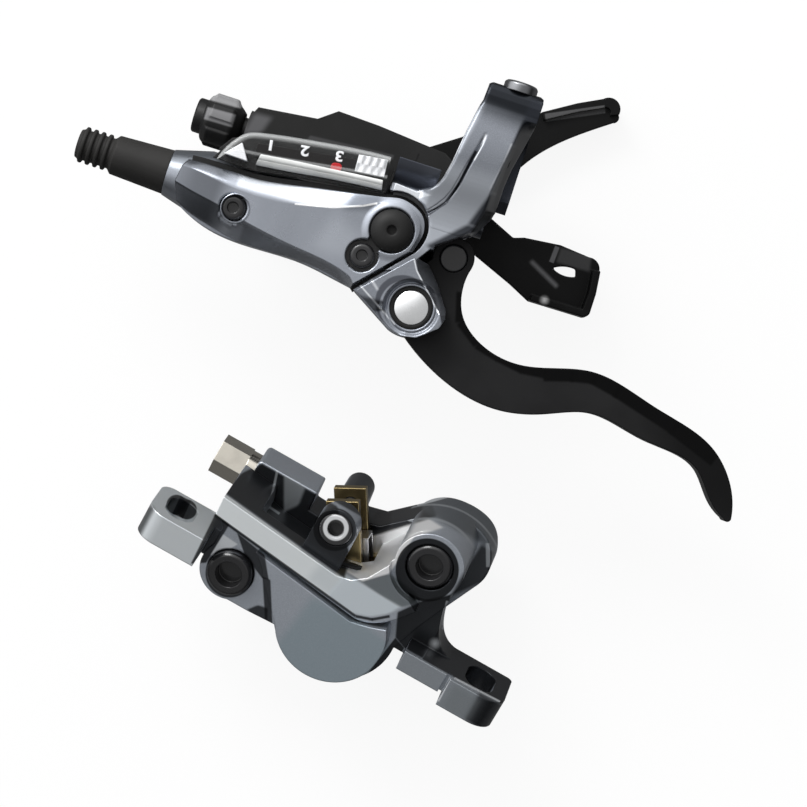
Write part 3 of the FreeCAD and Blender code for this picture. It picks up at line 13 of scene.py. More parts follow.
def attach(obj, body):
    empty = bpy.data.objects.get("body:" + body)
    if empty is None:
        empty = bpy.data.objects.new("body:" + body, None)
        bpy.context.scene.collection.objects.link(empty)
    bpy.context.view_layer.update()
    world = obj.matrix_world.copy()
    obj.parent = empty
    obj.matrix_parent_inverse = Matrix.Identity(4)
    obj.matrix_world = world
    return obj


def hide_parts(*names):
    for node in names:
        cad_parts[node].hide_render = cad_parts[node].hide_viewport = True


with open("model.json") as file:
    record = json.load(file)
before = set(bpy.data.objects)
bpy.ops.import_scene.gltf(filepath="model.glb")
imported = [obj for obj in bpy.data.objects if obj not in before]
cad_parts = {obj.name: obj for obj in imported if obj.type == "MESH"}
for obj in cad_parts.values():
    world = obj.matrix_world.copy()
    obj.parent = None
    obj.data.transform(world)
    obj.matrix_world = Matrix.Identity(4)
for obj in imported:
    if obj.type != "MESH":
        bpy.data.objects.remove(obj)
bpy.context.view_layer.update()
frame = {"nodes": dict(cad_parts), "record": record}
bodyOf = {node: body for body, nodes in frame["record"]["behaviour"]["bodies"].items() for node in nodes}
slotOf = {entry["node"]: entry["material_slot"] for entry in frame["record"]["subparts"]}
mm = 0.001
eye = (-1.6, -54.8, 705.0)  # the camera's place in mm, straight above the set
planeHeight = 2.0  # outlines read off the picture are full size at this height
print("frame loaded:", len(frame["nodes"]), "nodes")


class Wire:
    # one output socket, with + - * ** that add Math nodes
    def __init__(self, graph, socket):
        self.graph = graph
        self.socket = socket

    def math(self, operation, *others):
        node = self.graph.tree.nodes.new("ShaderNodeMath")
        node.operation = operation
        for slot, value in enumerate((self, *others)):
            self.graph.feed(node.inputs[slot], value)
        return Wire(self.graph, node.outputs[0])

    def __add__(self, other):
        return self.math("ADD", other)

    __radd__ = __add__

    def __sub__(self, other):
        return self.math("SUBTRACT", other)

    def __rsub__(self, other):
        return (self * -1) + other

    def __mul__(self, other):
        return self.math("MULTIPLY", other)

    __rmul__ = __mul__

    def __pow__(self, other):
        return self.math("POWER", other)

    def between(self, low, high):
        # 0 below low, 1 above high, smooth between
        return self.graph.node("ShaderNodeMapRange", {"interpolation_type": "SMOOTHSTEP"},
                               {"Value": self, "From Min": low, "From Max": high}, "Result")


class Graph:
    def __init__(self, name):
        self.material = bpy.data.materials.new(name)
        self.material.use_nodes = True
        self.tree = self.material.node_tree
        self.shader = self.tree.nodes["Principled BSDF"]
        self.place = self.node("ShaderNodeTexCoord", {}, {}, "Object")
        self.flat = None

    def feed(self, socket, value):
        if isinstance(value, Wire):
            self.tree.links.new(value.socket, socket)
        elif isinstance(value, (tuple, list)) and socket.type == "RGBA" and len(value) == 3:
            socket.default_value = (*value, 1.0)
        else:
            socket.default_value = value

    def node(self, kind, settings, values, output=0):
        made = self.tree.nodes.new(kind)
        for key, value in settings.items():
            setattr(made, key, value)
        for key, value in values.items():
            self.feed(made.inputs[key], value)
        return Wire(self, made.outputs[output])

    def noise(self, scale, detail=4.0, roughness=0.5, stretch=None):
        place = self.place
        if stretch:
            place = self.node("ShaderNodeMapping", {}, {"Vector": place, "Scale": stretch})
        return self.node("ShaderNodeTexNoise", {}, {"Vector": place, "Scale": scale, "Detail": detail,
                                                    "Roughness": roughness}, 0)

    def picture(self):
        # the point in mm, moved along its line to the eye e into the picture plane, at a height q:
        # e + (p - e) * (ez - q) / (ez - z), where z is the point's own height;
        # it follows from the place on the object alone, so it stays there in every view
        if self.flat is None:
            height = self.node("ShaderNodeSeparateXYZ", {}, {0: self.place}, 2)
            fromCentre = self.node("ShaderNodeVectorMath", {"operation": "MULTIPLY_ADD"},
                                   {0: self.place, 1: (1000, 1000, 0), 2: (-eye[0], -eye[1], 0)})
            growth = (height * -1000 + eye[2]) ** -1 * (eye[2] - planeHeight)
            grown = self.node("ShaderNodeVectorMath", {"operation": "SCALE"}, {0: fromCentre, "Scale": growth})
            self.flat = self.node("ShaderNodeVectorMath", {"operation": "ADD"},
                                  {0: grown, 1: (eye[0], eye[1], 0)})
        return self.flat

    def edge(self, one, other, soft):
        # 0 on the right of the line from one to other, 1 on its left, soft mm to either side
        normal = np.array((one[1] - other[1], other[0] - one[0]), float)
        normal /= np.linalg.norm(normal)
        reach = self.node("ShaderNodeVectorMath", {"operation": "DOT_PRODUCT"},
                          {0: self.picture(), 1: (*normal, 0.0)}, "Value")
        along = float(normal @ np.array(one))
        return reach.between(along - soft, along + soft)

    def patch(self, corners, soft=0.2):
        # 1 inside a convex outline whose corners run anticlockwise in the picture plane
        sides = [self.edge(one, other, soft) for one, other in zip(corners, corners[1:] + corners[:1])]
        inside = sides[0]
        for side in sides[1:]:
            inside = inside * side
        return inside

    def disc(self, centre, radius, soft=0.15):
        # 1 inside a circle of the picture plane
        reach = self.node("ShaderNodeVectorMath", {"operation": "DISTANCE"},
                          {0: self.picture(), 1: (*centre, 0.0)}, "Value")
        return reach.between(radius + soft, radius - soft)

    def arc(self, centre, radius, width, corners):
        # a thin ring kept inside an outline
        ring = self.disc(centre, radius + width / 2) * (1 - self.disc(centre, radius - width / 2))
        return ring * self.patch(corners)

    def mix(self, factor, one, two):
        return self.node("ShaderNodeMix", {"data_type": "RGBA"}, {0: factor, 6: one, 7: two}, 2)

    def rounded(self, radius):
        return self.node("ShaderNodeBevel", {"samples": 6}, {"Radius": radius})

    def bump(self, height, distance, strength, normal):
        return self.node("ShaderNodeBump", {}, {"Height": height, "Distance": distance, "Strength": strength,
                                                "Normal": normal})

    def set(self, **values):
        names = {"colour": "Base Color", "metal": "Metallic", "rough": "Roughness", "normal": "Normal",
                 "coat": "Coat Weight", "coatRough": "Coat Roughness", "clear": "Transmission Weight",
                 "ior": "IOR",
                 "alpha": "Alpha", "spec": "Specular IOR Level"}
        for key, value in values.items():
            self.feed(self.shader.inputs[names[key]], value)
        return self.material


def paintLightAndShade(g, tone, lightAndShade):
    # painted light and shade: rows of (strength, colour, shapes) that mix painted highlights, painted
    # reflections and painted shade into the colour; a shape is the name of a mask above and its values: patch,
    # disc or arc;
    # they stay off the surfaces that face down
    if not lightAndShade:
        return tone
    facing = g.node("ShaderNodeTexCoord", {}, {}, "Normal")
    front = g.node("ShaderNodeSeparateXYZ", {}, {0: facing}, 2).between(0.02, 0.2)
    for strength, colour, shapes in lightAndShade:
        for kind, *values in shapes:
            tone = g.mix(getattr(g, kind)(*values) * front * strength, tone, colour)
    return tone


def paintedMetal(name, colour, rough, flake, edge=0.35, lightAndShade=()):
    # metallic lacquer: fine flakes in the colour, a soft orange-peel bump and rounded edges, and any painted
    # light and shade it is given
    g = Graph(name)
    flakes = g.noise(5200.0, 1.0).between(0.35, 0.75)
    cloud = g.noise(90.0, 3.0)
    tone = g.mix(flakes * flake, colour, tuple(min(1.0, c * 2.3) for c in colour))
    tone = g.mix((cloud - 0.5) * 0.25 + 0.12, tone, tuple(c * 0.75 for c in colour))
    tone = paintLightAndShade(g, tone, lightAndShade)
    peel = g.noise(900.0, 2.0)
    return g.set(colour=tone, metal=0.82, rough=cloud * 0.06 + (rough - 0.03),
                 normal=g.bump(peel, 0.00001, 0.2, g.rounded(edge * mm)), coat=0.06, coatRough=0.12)


def mouldedBlack(name, colour, rough, grain, depth, edge=0.25, coat=0.0, lightAndShade=(), spec=0.2):
    # black moulding or painted blade: grain bump, slightly worn tone, and any painted light and shade it is
    # given
    g = Graph(name)
    fine = g.noise(grain, 3.0, 0.6)
    cloud = g.noise(60.0, 3.0)
    tone = g.mix(cloud.between(0.35, 0.7), colour, tuple(c * 1.4 + 0.001 for c in colour))
    tone = paintLightAndShade(g, tone, lightAndShade)
    return g.set(colour=tone, metal=0.0, rough=cloud * 0.12 + (rough - 0.06),
                 normal=g.bump(fine, depth, 0.6, g.rounded(edge * mm)), coat=coat, coatRough=0.2, spec=spec)


def bareMetal(name, colour, rough, stretch=(1.0, 1.0, 1.0), edge=0.15, metal=1.0):
    # turned or plated metal: streaks along the stretch, small stains
    g = Graph(name)
    streak = g.noise(1500.0, 3.0, 0.6, stretch)
    stain = g.noise(220.0, 4.0)
    tone = g.mix(stain.between(0.45, 0.8) * 0.35, colour, tuple(c * 0.62 for c in colour))
    return g.set(colour=tone, metal=metal, rough=streak * 0.14 + (rough - 0.07),
                 normal=g.bump(streak, 0.000004, 0.5, g.rounded(edge * mm)))



def area(soft, *corners):
    # a convex patch whose corners run anticlockwise, its edge soft mm to either side
    return "patch", list(corners), soft


def line(one, other, width, soft=0.15):
    # a thin patch from one point to the other
    one, other = np.array(one, float), np.array(other, float)
    side = np.array((one[1] - other[1], other[0] - one[0])) / np.linalg.norm(other - one) * width / 2
    return "patch", [tuple(one - side), tuple(other - side), tuple(other + side), tuple(one + side)], soft


def onCaliper(shapes):
    # shapes drawn along the caliper's own rail, turned 11.5 degrees into the picture plane
    cos, sin = math.cos(math.radians(11.5)), math.sin(math.radians(11.5))

    def turned(spot):
        return -3.716 + spot[0] * cos + spot[1] * sin, -97.82 - spot[0] * sin + spot[1] * cos

    def placed(value):
        if isinstance(value, list):
            return [turned(spot) for spot in value]
        return turned(value) if isinstance(value, tuple) else value

    return [(kind, *(placed(value) for value in rest)) for kind, *rest in shapes]


# painted light on the shifter pod: two lighter patches where light falls, and two near-black lines
podPaintedLight = (
    (0.8, (0.10, 0.10, 0.105), [area(0.9, (-52.2, -10.4), (-48.6, -9), (-47.4, -5.2), (-51.2, -5.4))]),
    (0.8, (0.05, 0.05, 0.052), [area(0.3, (-39, -8.2), (-20, -5.8), (-20, -4.8), (-38.4, -6.3))]),
    (0.9, (0.002, 0.002, 0.002), [line((-15, -2.8), (-15.3, -6.4), 0.35),
        line((-38.2, -2.6), (-36.5, -1.6), 0.3)]),
)
# near-black for painted shade and painted dark reflections on the caliper
paintedShade = (0.005, 0.0055, 0.0065)
# flank, in the groove, the scoop and the crescent by the pin, and painted highlights along rim, groove and
# crease
# painted light and shade on the arm, lug and clamp band: painted shade at the arm's top end, down its right
armPaintedLight = (
    (0.6, (0.09, 0.10, 0.11), [area(0.9, (-67, -22.4), (-55, -22.4), (-55, -16), (-67, -16))]),
    (0.8, (0.50, 0.53, 0.58), [area(3.0, (-12, -22), (8, -22), (6, -3), (-12, -3))]),
    (0.5, (0.46, 0.49, 0.54), [line((-5.2, 12), (-7.4, 0), 1.7, 0.4)]),
    (0.985, (0.010, 0.012, 0.016), [area(3.2, (-16, 11.2), (16, 8.4), (16, 28), (-16, 28))]),
    (0.9, (0.02, 0.022, 0.03), [line((-3.5, 1.5), (-4.7, -6), 0.7), line((-4.7, -6), (-6.3, -11), 0.7),
        line((-6.3, -11), (-9, -14.4), 0.7)]),
    (0.45, (0.95, 0.97, 1.0), [line((-2.6, 5.6), (-2.7, 3), 0.45, 0.25),
        line((-2.7, 3), (-3.3, -0.5), 0.3, 0.2), line((-7.0, 3), (-7.9, -3.6), 0.35, 0.2),
        line((-7.9, -3.6), (-9.4, -8), 0.45, 0.2)]),
    (0.9, (0.07, 0.075, 0.09), [("disc", (-8.6, -34.2), 5.8, 0.2)]),
    (1.0, (0.29, 0.31, 0.35), [("disc", (-7.6, -34.9), 5.6, 0.2)]),
    (0.8, (0.9, 0.93, 0.97), [line((-19.2, -33), (-8.6, -39.3), 0.35),
        line((-16.9, -31.2), (-14.4, -33.3), 0.3, 0.4), line((-9, -24.6), (-7.7, -26.8), 0.3),
        line((-7.7, -26.8), (-0.2, -34.3), 0.3)]),
    (0.93, (0.02, 0.023, 0.03), [area(0.6, (3.7, 5), (9, 5), (9, 16), (4.3, 16)),
        area(0.6, (2.3, -6), (9, -6), (9, 5), (3.7, 5)), area(0.4, (3, -12), (9, -12), (9, 16), (5, 16)),
        area(0.6, (-0.4, -14), (9, -14), (9, -6), (2.3, -6)),
        area(0.6, (-7.4, -21), (3, -26), (9, -14), (-0.4, -14))]),
    (0.7, (0.85, 0.88, 0.92), [area(0.25, (-19.6, -12.2), (-12.5, -12.2), (-9.6, -10.4), (-12.4, -10.3),
        (-19.6, -10.1))]),
    (0.92, (0.05, 0.055, 0.07), [area(0.3, (-19.6, -9.8), (-13, -10.2), (-9.8, -8.8), (-8.6, -6.6),
        (-9.2, -4), (-19.6, -4))]),
    (0.5, (0.9, 0.93, 0.97), [line((3.3, 5.4), (2.9, 1), 0.3, 0.25), line((2.9, 1), (1.8, -5.5), 0.15, 0.3)]),
)
# painted light and shade on both caliper halves: painted highlights on the rail band, ears and boss rings,
# painted shade and painted dark reflections behind the rail, in the recesses and round the bolts
caliperPaintedLight = tuple((strength, colour, onCaliper(shapes)) for strength, colour, shapes in (
    (0.85, (0.74, 0.78, 0.80), [area(0.3, (-44.5, -10.5), (-28.7, -10.5), (-29.4, 4.2), (-44.5, 4.2))]),
    (0.6, (0.27, 0.35, 0.39), [area(1.4, (-6, -24), (18, -24), (18, -4), (12, -2.8), (-3, -3))]),
    (0.75, paintedShade, [area(0.7, (-44.6, -10.5), (-41.6, -10.5), (-41.9, -3.2), (-44.6, -3.2))]),
    (0.92, paintedShade, [area(0.2, (-29.3, -9.8), (-26.5, -8), (-26.2, 1.6), (-30, 2.3)),
        ("disc", (-38.2, -0.3), 2.15), ("disc", (-35.7, -0.1), 2.1),
        line((-38.2, -0.3), (-35.7, -0.1), 4.2)]),
    (0.95, (0.94, 0.985, 1.0), [area(0.2, (-31, 2.2), (0, -1.2), (1, 3.6), (-30.6, 6.9))]),
    (0.5, (0.62, 0.68, 0.72), [area(1.4, (-6, -0.6), (1, -1.3), (2, 3.6), (-5, 4.6))]),
    (0.85, (0.78, 0.85, 0.90), [area(0.5, (-0.6, -1.1), (6, -2.0), (9.6, -0.9), (13, 1.8), (14.6, 4.6),
        (0.4, 4.6))]),
    (0.85, (0.15, 0.17, 0.18), [area(0.4, (3, 5), (9, 4.3), (14.6, 4.3), (17.6, 7), (16, 8.6), (9, 9.4))]),
    (0.9, (1.0, 1.0, 1.0), [area(0.3, (0.6, 5.2), (4.6, 5.0), (8.8, 9.4), (9.6, 19), (4.6, 18.4),
        (-0.6, 12.4)), area(0.4, (4.6, 18), (9.4, 18.6), (14, 23.6), (9.6, 23.8))]),
    (0.95, paintedShade, [area(0.35, (-30.6, 7), (1, 3.7), (-0.8, 9), (-8, 16.4), (-26.6, 16.4), (-29.4, 12.5)),
        area(0.4, (-1.4, 13), (0.6, 13.2), (11.6, 25), (8.6, 27.4), (0, 20)),
        area(0.5, (-1.4, 13), (4, 18), (2, 22.8), (-3, 22.8)),
        area(0.3, (14.4, 3), (16.7, -2), (19.4, -3), (24, -3), (24.5, 5), (22.6, 12), (18, 8)),
        area(0.2, (16.7, -2), (15.2, -12.2), (19.5, -8.4), (19.5, -3)),
        area(0.2, (24, -3.2), (44.4, -3.2), (44.4, 3.8), (24, 4.6))]),
    (0.85, (0.085, 0.095, 0.105), [area(0.9, (8.4, 24.6), (28, 24.6), (28.2, 27), (22, 32.6), (14, 33),
        (6.6, 26.6))]),
    (0.9, paintedShade, [area(0.7, (22.4, 11), (28.4, 19), (28.2, 24.6), (22.8, 24.6), (22.4, 18)),
        area(0.8, (38, -10.2), (44.6, -10.2), (44.6, -3), (38, -3.2)),
        area(0.2, (-24, 0.9), (-20, -2.6), (-14.4, -5), (-13, -4.6), (-16.4, -0.4)),
        area(0.2, (-14.6, -4.6), (-9.2, -12.9), (-7.5, -12.7), (-12.7, -4.4)),
        area(0.3, (-14, -12.4), (-8.4, -13.6), (-10.2, -10), (-12.4, -10.4)),
        line((-30, 1.8), (7, -2.2), 0.6), line((7, -2.2), (10.6, -1.0), 0.6),
        line((10.4, -1.1), (13.4, 1.4), 0.6), ("disc", (-21, -7.5), 5.2), ("disc", (-6, 11.8), 4.6),
        area(0.3, (-9.6, 17), (-2.2, 17), (-2.2, 27), (-9.6, 27))]),
    (0.7, (0.5, 0.53, 0.55), [line((-23, 16.8), (-20.6, 9.2), 0.5), line((-20.6, 9.1), (-18, 8.9), 0.5),
        area(0.5, (-18.9, 12.2), (-17.4, 9.8), (-15.4, 12.5), (-16, 16.6), (-21.2, 16.6))]),
    (0.5, (0.2, 0.22, 0.23), [area(0.2, (19.5, -7.6), (31, -7.6), (31, -3.2), (19.5, -3.2)),
        area(0.6, (31, -10.2), (38, -10.2), (38, -3.4), (31, -3.4)),
        area(1.2, (32.5, -10.2), (39, -10.2), (39, -4.4), (32.5, -4.4))]),
    (0.85, (0.8, 0.83, 0.86), [area(0.2, (-26.5, -6), (-25.4, -6.2), (-22.6, -1.2), (-26.3, -0.9)),
        ("disc", (24.7, 1.0), 0.7, 1.0), line((6.6, 25.2), (11.6, 30.2), 0.9),
        line((31.4, -9.4), (31.2, -3.6), 0.5), line((32, -3.3), (43, -2.9), 0.4)]),
    (0.96, paintedShade, [("disc", (15.5, 14), 6.8)]),
    (0.6, (0.5, 0.53, 0.56), [line((22.7, 10.4), (24.4, 5.4), 0.9),
        ("arc", (17, 13.5), 15.2, 0.35, [(6, 23), (27, 25), (28, 31), (6, 31)]),
        ("arc", (15.5, 13.8), 11.2, 0.5, [(5, 21), (25, 23), (25, 30), (5, 30)]),
        line((24, 25.4), (26.6, 21), 0.9)]),
))
# the blade's rear edge as a chain of pieces, along which a painted shade band runs
bladeShade = (
    ((3.4, -28), (5.2, -34.4)), ((5.0, -33.8), (10, -37.3)), ((9.6, -37.2), (15, -38.5)),
    ((14.6, -38.4), (20.6, -39.3)), ((20, -39.3), (25.4, -38.7)), ((24.8, -38.8), (31, -36.9)),
    ((30.4, -37.1), (36, -35.9)), ((35.4, -36.1), (42, -37.4)), ((41, -37.2), (56, -41.2)),
    ((55, -41), (66, -45)),
)
# painted shade: a near-black band along the rear edge and a darker tip
bladePaintedShade = tuple((0.96, (0.0006, 0.0006, 0.0007), [line(one, other, 3.4 if one[0] < 24 else 4.6, 0.35)])
                   for one, other in bladeShade)
bladePaintedShade += ((0.6, (0.0015, 0.0015, 0.0016), [area(6.0, (58, -60), (80, -60), (80, -40), (48, -36))]),)
# painted highlight: a lighter strip along the thumb lever
thumbPaintedHighlight = ((0.9, (0.075, 0.075, 0.077), [line((8.4, 12.9), (20, 18.6), 1.7)]),)
# painted highlights on the paddle: lighter patches and lines and a bright glint
paddlePaintedLight = (
    (0.9, (0.045, 0.045, 0.046), [area(0.5, (20.2, -15.8), (27.6, -15.6), (27, -12.4), (20.2, -12.6))]),
    (0.9, (0.11, 0.11, 0.115), [line((19.2, -16.2), (19.4, -12.6), 1.0),
        line((15, -17.3), (22, -20.8), 0.8, 0.5)]),
    (0.95, (0.6, 0.6, 0.6), [("disc", (20.3, -24.4), 0.5, 0.9)]),
)
# painted light on the adjuster's grip: its upper facets lighter where light falls
gripPaintedLight = (
    (0.95, (0.16, 0.16, 0.165), [area(0.25, (-61.2, -10), (-54.9, -9.8), (-54.9, -7), (-61.2, -7.3))]),
    (0.95, (0.21, 0.21, 0.215), [area(0.3, (-61.4, -5.7), (-54.4, -5.4), (-53.6, -3), (-61.4, -3))]),
)
# a lighter middle, painted shade on the front slope and beside the boss
# painted light and shade on the lid: a dark left end, a painted highlight along the rear slope and crease,
lidPaintedLight = (
    (0.8, (0.055, 0.06, 0.07), [area(2.5, (-70, -36), (-52, -36), (-52, -11), (-70, -11))]),
    (0.5, (0.8, 0.83, 0.88), [area(0.6, (-50, -21.4), (-36, -20.9), (-28, -18.6), (-28, -16), (-50, -18.7))]),
    (0.4, (0.5, 0.53, 0.58), [area(2.5, (-31, -29), (-24, -29.5), (-21, -24), (-28, -20.5))]),
    (0.55, (0.10, 0.11, 0.13), [area(0.5, (-46, -34), (-19, -36), (-24, -31.8), (-35, -30.2), (-46, -28.6))]),
    (0.6, (0.6, 0.63, 0.68), [("disc", (-49.6, -31), 0.6, 1.6)]),
    (0.8, (0.09, 0.10, 0.12), [area(1.2, (-26.5, -19), (-19.5, -17), (-19.5, -13.6), (-26.5, -15.2))]),
    (0.8, (1.0, 1.0, 1.0), [line((-37, -21.3), (-29, -19.5), 0.35), line((-29, -19.5), (-23, -17.2), 0.35),
        line((-23, -17.2), (-20.2, -15.7), 0.35)]),
)
# painted light and shade on the pad axle's face: a lighter ring and a black socket
axlePaintedLight = tuple((strength, colour, onCaliper(shapes)) for strength, colour, shapes in (
    (0.95, (0.55, 0.56, 0.57), [("disc", (-6, 12.2), 2.75)]),
    (0.97, (0.004, 0.004, 0.004), [("disc", (-6, 12.2), 1.8)]),
))


def clearWindow():
    g = Graph("clearWindow")
    ripple = g.noise(160.0, 2.0)
    return g.set(colour=(0.93, 0.95, 0.95), rough=ripple * 0.04 + 0.02, clear=1.0, ior=1.49,
                 normal=g.rounded(0.25 * mm))


finishes = {
    "body_paint": paintedMetal("greyLacquer", (0.38, 0.41, 0.46), 0.32, 0.18),
    "lid_paint": paintedMetal("lidLacquer", (0.40, 0.43, 0.48), 0.28, 0.15),
    "blade_paint": mouldedBlack("bladeBlackPaintedShade", (0.0095, 0.0095, 0.0099), 0.42, 2600.0, 0.00002, 0.5, 0.02,
                                bladePaintedShade, 0.06),
    "bright_steel": bareMetal("brightPin", (0.78, 0.79, 0.80), 0.25),
    "nickel_steel": bareMetal("nickelPlate", (0.55, 0.52, 0.46), 0.24),
    "black_steel": mouldedBlack("blackOxide", (0.010, 0.010, 0.011), 0.22, 1800.0, 0.000006, 0.2, 0.6),
    "spring_steel": bareMetal("springSteel", (0.40, 0.40, 0.41), 0.3),
    "brass_metal": bareMetal("brassRing", (0.62, 0.47, 0.22), 0.28),
    "bare_aluminium": bareMetal("machinedAluminium", (0.66, 0.67, 0.69), 0.3),
    "pad_steel": bareMetal("yellowZinc", (0.27, 0.21, 0.105), 0.32),
    "pad_compound": mouldedBlack("padLining", (0.06, 0.052, 0.045), 0.9, 700.0, 0.00012, 0.1),
    "piston_resin": mouldedBlack("pistonResin", (0.05, 0.04, 0.034), 0.4, 900.0, 0.00001),
    "bearing_plastic": mouldedBlack("bearingBlack", (0.02, 0.02, 0.02), 0.4, 900.0, 0.00001),
    "black_plastic": mouldedBlack("podBlackPaintedLight", (0.0085, 0.0085, 0.0085), 0.5, 3200.0, 0.00003, 0.35, 0.0,
                                  podPaintedLight),
    "lever_plastic": mouldedBlack("leverBlack", (0.0075, 0.0075, 0.0078), 0.38, 2600.0, 0.00002, 0.35, 0.1),
    "seal_rubber": mouldedBlack("sealRubber", (0.008, 0.008, 0.008), 0.55, 1200.0, 0.00001),
    "boot_rubber": mouldedBlack("bootRubber", (0.013, 0.0125, 0.012), 0.62, 2200.0, 0.00003, 0.25),
    "display_black": mouldedBlack("displayBlack", (0.006, 0.005, 0.005), 0.3, 900.0, 0.000003),
    "display_grey": mouldedBlack("frostedStrip", (0.62, 0.63, 0.62), 0.5, 900.0, 0.00001),
    "display_white": mouldedBlack("reflectorWhite", (0.70, 0.71, 0.73), 0.3, 900.0, 0.00001),
    "needle_red": mouldedBlack("needleRed", (0.38, 0.012, 0.015), 0.4, 900.0, 0.00001),
    "clear_plastic": clearWindow(),
}
finishOf = {
    "lever_housing": paintedMetal("armLacquerPaintedLight", (0.22, 0.235, 0.265), 0.32, 0.18, lightAndShade=armPaintedLight),
    "caliper_outer_half": paintedMetal("caliperLacquerPaintedLight", (0.38, 0.41, 0.46), 0.34, 0.2, lightAndShade=caliperPaintedLight),
    "clamp_band": paintedMetal("bandLacquerPaintedLight", (0.22, 0.235, 0.265), 0.32, 0.18, lightAndShade=armPaintedLight),
    "clamp_bolt": bareMetal("boltZinc", (0.20, 0.205, 0.215), 0.3),
    "main_lever": mouldedBlack("thumbBlackPaintedHighlight", (0.003, 0.003, 0.0031), 0.38, 2600.0, 0.00002, 0.35, 0.02,
                               thumbPaintedHighlight, 0.1),
    "release_lever": mouldedBlack("paddleBlackPaintedLight", (0.003, 0.003, 0.0031), 0.38, 2600.0, 0.00002, 0.35, 0.02,
                                  paddlePaintedLight, 0.08),
    "barrel_adjuster": mouldedBlack("gripBlackPaintedLight", (0.006, 0.006, 0.0062), 0.42, 2600.0, 0.00002, 0.25, 0.0,
                                    gripPaintedLight),
    "pad_axle": mouldedBlack("axleFacePaintedLight", (0.02, 0.02, 0.021), 0.25, 1800.0, 0.000004, 0.1, 0.4, axlePaintedLight),
}
finishOf["caliper_inner_half"] = finishOf["caliper_outer_half"]
print("finishes made:", len(finishes) + len(finishOf))


def dressed(node, width, segments=2, angle=32.0):
    # a merged copy of a solid with its sharp edges rounded over
    source = frame["nodes"][node]
    mesh = source.data.copy()
    work = bmesh.new()
    work.from_mesh(mesh)
    bmesh.ops.remove_doubles(work, verts=work.verts, dist=0.000002)
    bmesh.ops.dissolve_limit(work, angle_limit=math.radians(0.6), verts=work.verts, edges=work.edges)
    work.to_mesh(mesh)
    work.free()
    piece = bpy.data.objects.new(node + "_dressed", mesh)
    bpy.context.collection.objects.link(piece)
    mesh.materials.clear()
    mesh.materials.append(finishOf.get(node, finishes[slotOf[node]]))
    mesh.polygons.foreach_set("use_smooth", [True] * len(mesh.polygons))
    if width:
        bevel = piece.modifiers.new("edges", "BEVEL")
        bevel.width = width * mm
        bevel.segments = segments
        bevel.limit_method = "ANGLE"
        bevel.angle_limit = math.radians(angle)
        bevel.harden_normals = False
        bevel.use_clamp_overlap = True
    normals = piece.modifiers.new("normals", "WEIGHTED_NORMAL")
    normals.keep_sharp = False
    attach(piece, bodyOf[node])
    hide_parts(node)


edgeWidths = {
    "lever_housing": 0.35, "clamp_band": 0.9, "caliper_outer_half": 0.4, "caliper_inner_half": 0.4,
    "lever_blade": 0.9, "release_lever": 0.3, "main_lever": 0.3, "shifter_housing": 0.4, "shifter_cover": 0.2,
    "clamp_bolt": 0.2, "hose_boot": 0.15, "bleed_screw": 0.12, "lid_screws": 0.15, "pivot_pin": 0.2,
    "cross_pin": 0.5,
    "hose_fitting": 0.25, "body_bolts": 0.2, "pad_axle": 0.12, "bleed_nipple": 0.15, "clamp_hinge_pin": 0.15,
    "outer_pad_plate": 0.15, "inner_pad_plate": 0.15, "pad_spring": 0.1, "indicator_plate": 0.1,
    "indicator_needle": 0.1, "indicator_reflector": 0.12, "pivot_bushes": 0.1, "shifter_screws": 0.15,
}
rebuilt = ("reservoir_lid", "indicator_window", "indicator_diffuser", "barrel_adjuster")
shownPlain = ("return_spring",)
for node in frame["nodes"]:
    frame["nodes"][node].data.materials.clear()
    frame["nodes"][node].data.materials.append(finishes[slotOf[node]])
roundedNodes = [node for node in frame["nodes"] if node not in rebuilt + shownPlain]
for node in roundedNodes:
    dressed(node, edgeWidths.get(node, 0.0))
print("solids dressed:", len(roundedNodes))


def ease(value, low, high):
    # 0 below low, 1 above high, smooth between
    t = np.clip((value - low) / (high - low), 0, 1)
    return t * t * (3 - 2 * t)


def spline(knots, place):
    # the Catmull-Rom curve through the knots, read at places counted in knots
    knots = np.asarray(knots, float)
    knots = knots.reshape(len(knots), -1)
    padded = np.vstack((2 * knots[0] - knots[1], knots, 2 * knots[-1] - knots[-2]))
    cell = np.clip(place.astype(int), 0, len(knots) - 2)
    t = (place - cell)[:, None]
    a, b, c, d = (padded[cell + step] for step in range(4))
    square, cube = 2 * a - 5 * b + 4 * c - d, 3 * b - a - 3 * c + d
    curve = 0.5 * (2 * b + (c - a) * t + square * t ** 2 + cube * t ** 3)
    return curve[:, 0] if curve.shape[1] == 1 else curve


def raised(points, height):
    # points of the picture plane, moved along their lines to the eye up or down to a height, all in mm
    points = np.asarray(points, float)
    centre = np.array(eye[:2])
    return centre + (points - centre) * ((eye[2] - np.asarray(height, float)) / (eye[2] - planeHeight))[...,
                                                                                                        None]


